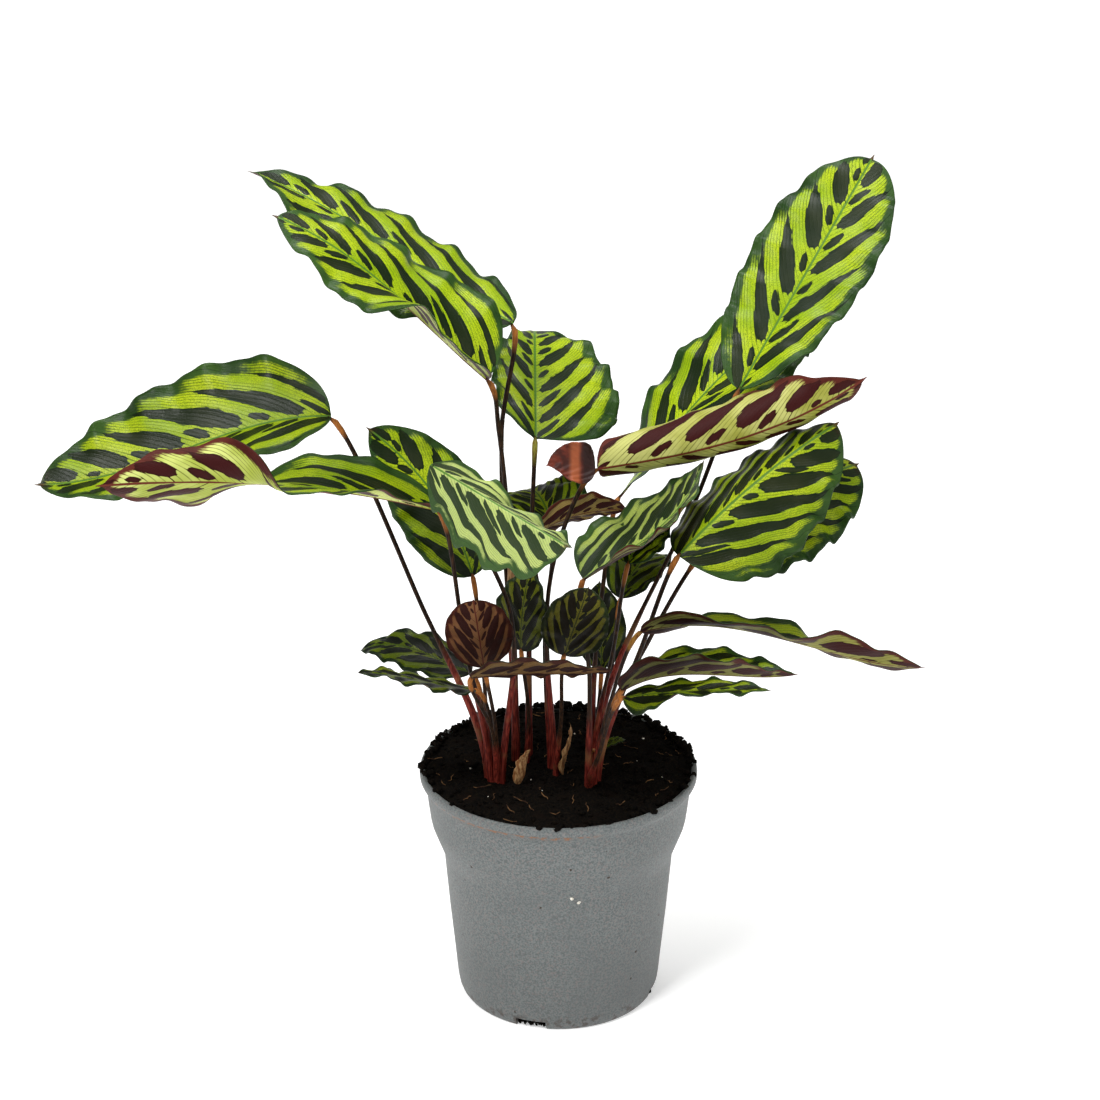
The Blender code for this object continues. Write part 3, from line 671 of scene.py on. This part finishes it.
def section(leaf, s):
    """Middle, left and up directions of the blade at s."""
    four, left = midrib(leaf)
    point, along = through(four, s)
    left = unit(left - along * np.dot(left, along))
    up = np.cross(along, left)
    turn = math.radians(eased(leaf.roll, s))
    return point, left * math.cos(turn) + up * math.sin(turn), up * math.cos(turn) - left * math.sin(turn)


def half_width(leaf, side):
    """Widest reach of the left (0) or right (1) half from the midrib."""
    return leaf.wide / 2 * (1 - leaf.skew, 1 + leaf.skew)[side]


def half_row(leaf, s, shares, side, seed):
    """Points of one half of the blade at s, for shares from 0 at the midrib to 1 at the margin."""
    point, left, up = section(leaf, s)
    folds, curls = (leaf.left, leaf.right)[side]
    half = half_width(leaf, side)
    run = shares * half * breadth(leaf, s)
    start = math.radians(eased(folds, s))
    bend = math.radians(eased(curls, s)) / half
    if abs(bend) < 1e-6:
        out, lift = run * math.cos(start), run * math.sin(start)
    else:
        out = (np.sin(start + bend * run) - math.sin(start)) / bend
        lift = (math.cos(start) - np.cos(start + bend * run)) / bend
    height, count, phase = leaf.wave
    fade = max(0, min(1, 6 * s, 6 * (1 - s)))
    turn = math.tau * (count * s + phase + 0.37 * side)
    lift = lift + height * shares ** WAVE_POWER * math.sin(turn) * fade
    lift = lift + 0.3 * height * shares ** 3 * math.sin(2.3 * turn + seed) * fade
    lift = lift + 0.3 * height * shares ** 2 * noise.noise((7 * s, 3 * side, seed)) * fade
    ribs = np.cos(math.tau * vein_place(leaf, s, run, shares, side))
    lift = lift - 0.3 * ribs * np.minimum(1, 8 * shares) * fade
    sign = (1, -1)[side]
    return point + np.outer(out * sign, left) + np.outer(lift, up)


def length(leaf):
    return math.dist(leaf.base, leaf.tip)


def vein_place(leaf, s, run, shares, side):
    """Number of the main side vein through each point from the base, half a step apart on the halves."""
    start = s * length(leaf) - run * (VEIN_LEAN + VEIN_BEND * shares)
    return start / pitch(leaf) + 0.5 * side


def pitch(leaf):
    """Step along the midrib from one large blotch to the next."""
    return length(leaf) * (LARGE_PITCH if leaf.wide > LARGE_BLADE else SMALL_PITCH)


def blade_rows(count):
    """Places along the blade, closer together towards both ends, with the hair tip's after them."""
    rows = [i / count - 0.35 * math.sin(math.tau * i / count) / math.tau for i in range(count + 1)]
    return rows + [1 + HAIR_TIP / 2, 1 + HAIR_TIP]


def grid_faces(rows, columns, start, flip):
    """Corner numbers of the quads of one face of a blade."""
    i, j = np.meshgrid(np.arange(rows), np.arange(columns), indexing="ij")
    corner = start + i * (columns + 1) + j
    quads = np.stack([corner, corner + columns + 1, corner + columns + 2, corner + 1], axis=-1)
    quads = quads.reshape(-1, 4)
    return quads[:, ::-1] if flip else quads


def make_blade(name, leaf, number, finishes, slot, *nodes):
    """A thin blade with an upper and an under side, and maps of veins and of the distance to the margin."""
    rows, columns = LARGE_GRID if leaf.wide > LARGE_BLADE else SMALL_GRID
    places = blade_rows(rows)
    rows = len(places) - 1
    middle = columns // 2
    shares = np.linspace(0, 1, middle + 1)
    grid = np.zeros((rows + 1, columns + 1, 3))
    for i, s in enumerate(places):
        grid[i, middle:] = half_row(leaf, s, shares, 0, number)
        grid[i, :middle + 1] = half_row(leaf, s, shares, 1, number)[::-1]
    along = np.gradient(grid, axis=0)
    across = np.gradient(grid, axis=1)
    normals = np.cross(along, across)
    normals /= np.linalg.norm(normals, axis=2, keepdims=True)
    away = np.abs(np.arange(columns + 1) - middle) / middle
    row = np.array(places)[:, None] + 0 * away
    width = np.array([breadth(leaf, s) for s in places])[:, None] + 0 * away
    spread = np.minimum(1, leaf.wide * width / 4)[:, :, None]
    ridge = np.maximum(0, 1 - (width * away * leaf.wide / 2 / RIB_REACH) ** 2)
    ridge = ridge * RIB_HEIGHT * (1 - np.minimum(1, row)) ** 0.7 * min(1, leaf.wide / RIB_FULL_BLADE)
    upper = grid + normals * BLADE_THICKNESS / 2 * spread - normals * (UPPER_RIB_SHARE * ridge)[:, :, None]
    lower = grid - normals * BLADE_THICKNESS / 2 * spread - normals * ridge[:, :, None]

    count = (rows + 1) * (columns + 1)
    top = grid_faces(rows, columns, 0, False)
    low = grid_faces(rows, columns, count, True)
    rim = [(i, 0) for i in range(rows)] + [(rows, j) for j in range(columns)]
    rim += [(i, columns) for i in range(rows, 0, -1)] + [(0, j) for j in range(columns, 0, -1)]
    ring = [i * (columns + 1) + j for i, j in rim]
    band = [(a, a + count, b + count, b) for a, b in zip(ring, ring[1:] + ring[:1])]
    faces = np.concatenate([top, low, np.array(band)])

    mesh = bpy.data.meshes.new(name)
    points = np.concatenate([upper.reshape(-1, 3), lower.reshape(-1, 3)]) * MM
    mesh.from_pydata(points.tolist(), [], faces.tolist())
    for finish in finishes:
        mesh.materials.append(finish)
    kinds = np.concatenate([np.zeros(len(top)), np.ones(len(low)), np.zeros(len(band))]).astype(np.int32)
    mesh.polygons.foreach_set("material_index", kinds)
    mesh.polygons.foreach_set("use_smooth", np.ones(len(faces), bool))

    veins = []
    for side in (0, 1):
        vein = vein_place(leaf, row, width * away * half_width(leaf, side), away, side)
        veins.append((vein + BLADE_VEINS * number + BLADE_VEINS / 2 * side).reshape(-1))
    corner = faces % count
    column = corner % (columns + 1)
    right = (column.min(axis=1) < middle)[:, None]
    vein = np.where(right, veins[1][corner], veins[0][corner])
    sideways = ((np.arange(columns + 1) - middle) / middle)[column]
    fill_map(mesh, "vein", vein, sideways)
    fill_map(mesh, "reach", (width * (1 - away)).reshape(-1)[corner], (width * away).reshape(-1)[corner])
    tint = mesh.color_attributes.new("tint", "FLOAT_COLOR", "POINT")
    values = np.tile((*TINTS.get(name.split("_", 1)[1], (0, 0, 0)), 1), (2 * count, 1))
    end = np.clip((np.tile(row.reshape(-1), 2) - BROWN_TIP_START) / BROWN_TIP_FADE, 0, 1)
    values[:, 1] = np.maximum(values[:, 1], end)
    tint.data.foreach_set("color", values.astype(np.float32).reshape(-1))
    add_piece(name, mesh, slot, *nodes)


def fill_map(mesh, name, first, second):
    layer = mesh.uv_layers.new(name=name)
    values = np.stack([first, second], axis=-1).astype(np.float32)
    layer.data.foreach_set("uv", values.reshape(-1))


def add_object(name, data):
    item = bpy.data.objects.new(name, data)
    bpy.context.scene.collection.objects.link(item)
    return item


def add_piece(name, mesh, slot, *nodes):
    """A piece of the plant that rides on the root body and stands for the given nodes."""
    mesh.validate()
    mesh.update()
    piece = add_object(name, mesh)
    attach(piece, "root")
    if nodes:
        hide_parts(*nodes)
    return piece


def piece_from(name, bm, finishes, slot, *nodes, smooth=40):
    """A piece from a bmesh in millimetres."""
    bmesh.ops.recalc_face_normals(bm, faces=bm.faces)
    bmesh.ops.scale(bm, vec=(MM, MM, MM), verts=bm.verts)
    mesh = bpy.data.meshes.new(name)
    bm.to_mesh(mesh)
    bm.free()
    for finish in finishes:
        mesh.materials.append(finish)
    mesh.shade_smooth()
    mesh.set_sharp_from_angle(angle=math.radians(smooth))
    return add_piece(name, mesh, slot, *nodes)


def arc(start, start_run, end, end_run, u):
    """Point at u on the smooth curve from start to end that leaves and arrives along the two runs."""
    return (
        start * (2 * u ** 3 - 3 * u ** 2 + 1) + start_run * (u ** 3 - 2 * u ** 2 + u)
        + end * (3 * u ** 2 - 2 * u ** 3) + end_run * (u ** 3 - u ** 2))


def stalk_route(leaf):
    """Evenly spaced points from inside the soil, by the via point, to the base of the blade."""
    base, via = np.array(leaf.base, float), np.array(leaf.via, float)
    crown = np.array((*SHOOTS[leaf.shoot], STALK_ROOT_HEIGHT), float)
    lean = via - crown
    lean[2] = 0
    root = crown + lean * min(1, STALK_RING / np.linalg.norm(lean))
    along = through(midrib(leaf)[0], 0)[1]
    end = base + along * STALK_NECK
    way = unit(unit(via - root) + unit(end - via))
    first, second = np.linalg.norm(via - root), np.linalg.norm(end - via)
    steps = np.linspace(0, 1, ROUTE_STEPS)
    route = [np.array((root[0], root[1], STALK_FOOT))]
    route += [arc(root, np.array((0, 0, first)), via, way * first, u) for u in steps]
    route += [arc(via, way * second, end, along * 2 * JOINT_LENGTH, u) for u in steps[1:]]
    route = np.array(route)
    runs = np.concatenate([[0], np.cumsum(np.linalg.norm(np.diff(route, axis=0), axis=1))])
    even = np.linspace(0, runs[-1], STALK_STEPS + 1)
    return np.stack([np.interp(even, runs, route[:, k]) for k in range(3)], axis=1), even


def stalk_radius(run, total):
    """Radius of a stalk, and its shares of sheath and of joint, at a distance from its foot."""
    sheath_end = SHEATH_SHARE * total
    left = max(0.0, 1 - run / sheath_end)
    sheath = min(1.0, 4 * left)
    to_blade = total - run
    joint = 0.0
    if to_blade <= JOINT_LENGTH:
        joint = math.sin(math.pi * min(1, (JOINT_LENGTH - to_blade) / JOINT_LENGTH)) ** JOINT_SWELL
    radius = STALK_RADIUS + (SHEATH_RADIUS - STALK_RADIUS) * left ** SHEATH_TAPER
    radius += (JOINT_RADIUS - STALK_RADIUS) * joint
    if to_blade < STALK_NECK:
        radius *= 0.35 + 0.65 * to_blade / STALK_NECK
    return radius, sheath, min(1.0, joint * 1.2)


def add_tube(bm, route, radii, values, layer, sides, squeeze=0.0):
    """A closed tube along the route; values go to the colour layer of its rings."""
    side = np.array((0.31, 0.95, 0.02))
    rings = []
    for k, point in enumerate(route):
        along = unit(route[min(k + 1, len(route) - 1)] - route[max(k - 1, 0)])
        side = unit(side - along * np.dot(side, along))
        other = np.cross(along, side)
        ring = []
        for i in range(sides):
            angle = math.tau * i / sides
            radius = radii[k] * (1 + squeeze * values[k][0] * math.cos(2 * angle))
            vert = bm.verts.new(point + radius * (side * math.cos(angle) + other * math.sin(angle)))
            vert[layer] = (*values[k], 1)
            ring.append(vert)
        rings.append(ring)
    for low, high in zip(rings, rings[1:]):
        for i in range(sides):
            bm.faces.new([low[i], low[(i + 1) % sides], high[(i + 1) % sides], high[i]])
    bm.faces.new(rings[0][::-1])
    bm.faces.new(rings[-1])


def make_shoot(name, finish):
    """Stalks of one shoot: red sheaths below, dark stalks above, an orange joint under each blade."""
    bm = bmesh.new()
    layer = bm.verts.layers.float_color.new("part")
    for leaf_name, leaf in LEAVES.items():
        if leaf.shoot != name:
            continue
        route, runs = stalk_route(leaf)
        scale = TINY_STALK_SHARE if leaf.wide < TINY_BLADE else min(1.0, 0.72 + leaf.wide / 240)
        radii, values = [], []
        for run in runs:
            radius, sheath, joint = stalk_radius(run, runs[-1])
            radii.append(radius * scale)
            values.append((sheath, joint, GREEN_JOINTS.get(leaf_name, 0)))
        add_tube(bm, route, radii, values, layer, STALK_SIDES, STALK_SQUEEZE)
    piece_from(f"shoot_{name}", bm, [finish], "stalk", f"stalks_{name}", smooth=80)


def lathe(profile, sides):
    bm = bmesh.new()
    points = [bm.verts.new((radius, 0, height)) for radius, height in profile]
    edges = [bm.edges.new(pair) for pair in zip(points, points[1:])]
    bmesh.ops.spin(
        bm, geom=points + edges, cent=(0, 0, 0), axis=(0, 0, 1), angle=math.tau, steps=sides,
        use_duplicate=False)
    bmesh.ops.remove_doubles(bm, verts=bm.verts, dist=0.001)
    return bm


def slot_cutter():
    """One mesh with a box at each drainage slot, in metres."""
    bm = bmesh.new()
    for index in range(SLOT_COUNT):
        made = bmesh.ops.create_cube(bm, size=1)["verts"]
        bmesh.ops.scale(bm, vec=SLOT_SIZE, verts=made)
        bmesh.ops.translate(bm, vec=(SLOT_PLACE, 0, 0), verts=made)
        turn = Euler((0, 0, math.radians(SLOT_FIRST_ANGLE + 360 / SLOT_COUNT * index))).to_matrix()
        bmesh.ops.rotate(bm, cent=(0, 0, 0), matrix=turn, verts=made)
    bmesh.ops.scale(bm, vec=(MM, MM, MM), verts=bm.verts)
    mesh = bpy.data.meshes.new("slot_cutter")
    bm.to_mesh(mesh)
    bm.free()
    return add_object("slot_cutter", mesh)


def make_pot(finish):
    floor = FLOOR_RAISED + FLOOR_THICKNESS
    underside = [
        (FOOT_RING_INNER, 0), (FOOT_RING_INNER - FOOT_SLOPE, FLOOR_RAISED),
        (PAD_RADIUS + FOOT_SLOPE, FLOOR_RAISED), (PAD_RADIUS, 0), (0, 0),
    ]
    profile = [(0, floor), (FLOOR_RADIUS, floor), *POT_INSIDE, *POT_OUTSIDE, *underside]
    pot = piece_from("pot_shell", lathe(profile, POT_SIDES), [finish], "grey_plastic", "pot")
    cutter = slot_cutter()
    modifier = pot.modifiers.new("slots", "BOOLEAN")
    modifier.operation = "DIFFERENCE"
    modifier.object = cutter
    modifier.solver = "EXACT"
    cut = bpy.data.meshes.new_from_object(pot.evaluated_get(bpy.context.evaluated_depsgraph_get()))
    pot.modifiers.clear()
    pot.data = cut
    cut.shade_smooth()
    cut.set_sharp_from_angle(angle=math.radians(35))
    bpy.data.objects.remove(cutter, do_unlink=True)


def polar(radius, angle):
    return radius * math.cos(angle), radius * math.sin(angle)


def soil_height(x, y):
    """Height of the peat: a low mound broken into crumbs."""
    mound = SOIL_MIDDLE + (SOIL_EDGE - SOIL_MIDDLE) * (math.hypot(x, y) / MOUND_RADIUS) ** 2
    place = Vector((x, y, 0))
    lumps = 1.5 * noise.noise(place * 0.11) + 0.9 * noise.noise(place * 0.33)
    lumps += 0.7 * abs(noise.noise(place * 0.8))
    return mound + lumps


def add_lump(bm, centre, radius, dice, squash=0.7):
    """A small rough crumb."""
    made = bmesh.ops.create_icosphere(bm, subdivisions=1, radius=1)["verts"]
    turn = Euler([dice.uniform(0, math.tau) for _ in range(3)]).to_matrix()
    stretch = Vector((dice.uniform(0.7, 1.4), dice.uniform(0.6, 1.1), dice.uniform(0.5, 0.9)))
    for vert in made:
        bulge = 1 + 0.5 * noise.noise(vert.co * 1.7 + Vector(centre))
        vert.co = turn @ (Vector(a * b for a, b in zip(vert.co, stretch)) * bulge * radius)
        vert.co.z *= squash
        vert.co += Vector(centre)


def add_soil_body(bm):
    """The peat's uneven top, and its sides and bottom just inside the pot."""
    middle = bm.verts.new((0, 0, soil_height(0, 0)))
    rings = []
    for i in range(1, SOIL_RINGS + 1):
        radius = SOIL_RADIUS * (i / SOIL_RINGS) ** 0.85
        places = [polar(radius, math.tau * j / SOIL_SIDES) for j in range(SOIL_SIDES)]
        rings.append([bm.verts.new((x, y, soil_height(x, y))) for x, y in places])
    rim = [tuple(vert.co) for vert in rings[-1]]
    for radius, height in reversed(POT_INSIDE[:-2]):
        share = (radius - SOIL_GAP) / SOIL_RADIUS
        rings.append([bm.verts.new((x * share, y * share, height + SOIL_GAP)) for x, y, _ in rim])
    for i in range(SOIL_SIDES):
        bm.faces.new([middle, rings[0][i], rings[0][(i + 1) % SOIL_SIDES]])
    for inner, outer in zip(rings, rings[1:]):
        for i in range(SOIL_SIDES):
            bm.faces.new([inner[i], outer[i], outer[(i + 1) % SOIL_SIDES], inner[(i + 1) % SOIL_SIDES]])
    bm.faces.new(rings[-1][::-1])


def add_crumbs(bm, dice):
    """Crumbs on the peat, in the drainage slots and on the pot's rim."""
    for _ in range(CRUMB_COUNT):
        radius = SOIL_RADIUS * math.sqrt(dice.random()) * 0.98
        x, y = polar(radius, dice.uniform(0, math.tau))
        size = 0.5 + 1.5 * dice.random() ** 2.2
        add_lump(bm, (x, y, soil_height(x, y) + size * 0.2), size, dice)
    for index in range(SLOT_COUNT):
        for _ in range(SLOT_CRUMB_COUNT):
            swing = dice.uniform(-SLOT_CRUMB_SWING, SLOT_CRUMB_SWING)
            angle = math.radians(SLOT_FIRST_ANGLE + 360 / SLOT_COUNT * index + swing)
            radius, size = dice.uniform(*SLOT_CRUMB_RADIUS), dice.uniform(*SLOT_CRUMB_SIZE)
            add_lump(bm, (*polar(radius, angle), dice.uniform(size, SLOT_CRUMB_TOP)), size, dice, 0.9)
    for _ in range(RIM_CRUMB_COUNT):
        angles = (dice.uniform(-12, 192), dice.uniform(0, 180), dice.uniform(0, 360))
        angle = math.radians(dice.choice(angles))
        radius = dice.uniform(*RIM_CRUMB_RADIUS)
        size = 0.7 + 1.7 * dice.random() ** 1.6
        add_lump(bm, (*polar(radius, angle), RIM_CRUMB_HEIGHT + size * 0.5), size, dice, 0.9)


def make_fibres(finish, dice):
    """Short bent fibres that lie on the peat; those that would cross the rim are left out."""
    bm = bmesh.new()
    layer = bm.verts.layers.float_color.new("part")
    for _ in range(FIBRE_COUNT):
        radius = SOIL_RADIUS * math.sqrt(dice.random()) * 0.97
        x, y = polar(radius, dice.uniform(0, math.tau))
        way = dice.uniform(0, math.tau)
        reach = dice.uniform(*FIBRE_LENGTH)
        lift = dice.uniform(0.0, FIBRE_LIFT)
        route = []
        for k in range(FIBRE_POINTS):
            run = k / (FIBRE_POINTS - 1)
            along = (run - 0.5) * reach
            bend = 0.8 * math.sin(2.2 * k + way)
            px = x + along * math.cos(way) - bend * math.sin(way) * 0.5
            py = y + along * math.sin(way) + bend * math.cos(way) * 0.5
            route.append(np.array((px, py, soil_height(px, py) + 0.5 + lift * run ** 2)))
        if max(math.hypot(point[0], point[1]) for point in route) > FIBRE_LIMIT:
            continue
        radii = [0.12 + 0.12 * math.sin(math.pi * (k + 0.6) / 5.2) for k in range(FIBRE_POINTS)]
        add_tube(bm, route, radii, [(0, 0, 0)] * FIBRE_POINTS, layer, 5)
    piece_from("peat_fibres", bm, [finish], "peat", smooth=80)


def make_soil(peat, fibre):
    dice = random.Random(SOIL_SEED)
    bm = bmesh.new()
    add_soil_body(bm)
    add_crumbs(bm, dice)
    piece_from("peat_top", bm, [peat], "peat", "soil", smooth=180)
    make_fibres(fibre, dice)


def pot_radius(height):
    radii, heights = zip(*reversed(POT_OUTSIDE))
    return float(np.interp(height, heights, radii))


def make_perlite(finish):
    """A few white grains: two stuck to the pot's wall under the collar, the others on the peat."""
    dice = random.Random(GRAIN_SEED)
    bm = bmesh.new()
    for x, height, size in WALL_GRAINS:
        radius = pot_radius(height)
        add_lump(bm, (x, -math.sqrt(radius ** 2 - x ** 2) - size * 0.3, height), size, dice, 1.0)
    for _ in range(PEAT_GRAIN_COUNT):
        angle, radius = dice.uniform(0, math.tau), dice.uniform(*PEAT_GRAIN_RADIUS)
        x, y = polar(radius, angle)
        add_lump(bm, (x, y, soil_height(x, y) + 0.5), dice.uniform(*PEAT_GRAIN_SIZE), dice)
    piece_from("perlite_grains", bm, [finish], "peat", smooth=60)


def make_wrap(finish):
    """A dry tan sheath round the stalk of the front upper left leaf."""
    route, _ = stalk_route(LEAVES["upper_left_front"])
    low, high = WRAP_HEIGHTS
    route = route[(route[:, 2] > low) & (route[:, 2] < high)]
    bm = bmesh.new()
    layer = bm.verts.layers.float_color.new("part")
    count = len(route)
    swells = [math.sin(math.pi * (0.12 + 0.84 * k / (count - 1))) ** 0.6 for k in range(count)]
    radii = [WRAP_RADIUS * swell for swell in swells]
    add_tube(bm, route, radii, [(1, 0, 0)] * count, layer, WRAP_SIDES, WRAP_SQUEEZE)
    piece_from("dry_wrap", bm, [finish], "dry_scale", smooth=80)


def make_stage():
    """A pale floor with soft studio light and the camera."""
    bpy.ops.mesh.primitive_plane_add(size=STAGE_SIZE, location=(0, 0, 0))
    floor = bpy.context.object
    floor.name = "floor"
    graph = Graph("floor")
    graph.shader.inputs["Emission Color"].default_value = (1, 1, 1, 1)
    distance = graph.node("ShaderNodeVectorMath", graph.place(), operation="LENGTH").outputs[1]
    far = graph.step(distance, *STAGE_FADE)
    graph.put(graph.shader.inputs["Emission Strength"], graph.linear(far, 0.4, 0.45))
    floor.data.materials.append(graph.finish(srgb(240, 240, 240), 0.9, 0.0))

    world = bpy.data.worlds.new("studio")
    bpy.context.scene.world = world
    world.use_nodes = True
    world.node_tree.nodes["Background"].inputs[0].default_value = (1, 1, 1, 1)
    world.node_tree.nodes["Background"].inputs[1].default_value = WORLD_STRENGTH

    for name, place, size, power in LAMPS:
        light = bpy.data.lights.new(name, "AREA")
        light.size = size
        light.energy = power
        lamp = add_object(name, light)
        lamp.location = place
        lamp.rotation_euler = (Vector(LAMP_AIM) - lamp.location).to_track_quat("-Z", "Y").to_euler()

    camera = add_object("camera", bpy.data.cameras.new("camera"))
    camera.location = Vector(CAMERA_PLACE) * MM
    camera.rotation_euler = (math.radians(CAMERA_PITCH), 0, 0)
    camera.data.lens = CAMERA_LENS
    camera.data.clip_start = 0.01
    bpy.context.scene.camera = camera
    bpy.context.scene.view_settings.view_transform = "Standard"


upper, under, stalk_finish = make_upper_finish(), make_under_finish(), make_stalk_finish()
lobe_finish = make_lobe_finish()
dry = make_grainy_finish(
    "dry_scale", (1.2, 4.0), (0.35, 0.65), (124, 76, 38), (186, 146, 100), 0.3, (0.2, 0.55), 0.3, 0.15)
fibre = make_grainy_finish(
    "peat_fibre", (0.3, 3.0), (0.4, 0.62), (50, 32, 20), (114, 84, 54), 0.2, (0.1, 0.8), 0.2)
perlite = make_grainy_finish(
    "perlite", (2.0, 3.0), (0.4, 0.6), (214, 206, 188), (244, 242, 234), 0.2, (0.1, 0.8), 0.3)
make_pot(make_pot_finish())
make_soil(make_peat_finish(), fibre)
make_perlite(perlite)
for shoot_name in SHOOTS:
    make_shoot(shoot_name, stalk_finish)

# Blades, by piece, forms, first number, finishes, slot and node
BLADES = (
    ("leaf", LEAVES, 0, [upper, under], "leaf", "blade"),
    ("husk", SCALES, SCALE_NUMBER, [dry, dry], "dry_scale", "scale"),
    ("fold", LOBES, LOBE_NUMBER, [lobe_finish, lobe_finish], "leaf", "lobe"),
)
for piece_kind, forms, first_number, finishes, slot_name, node_kind in BLADES:
    for form_number, (form_name, form) in enumerate(forms.items(), first_number):
        node_name = f"{node_kind}_{form_name}"
        make_blade(f"{piece_kind}_{form_name}", form, form_number, finishes, slot_name, node_name)
make_wrap(dry)
make_stage()
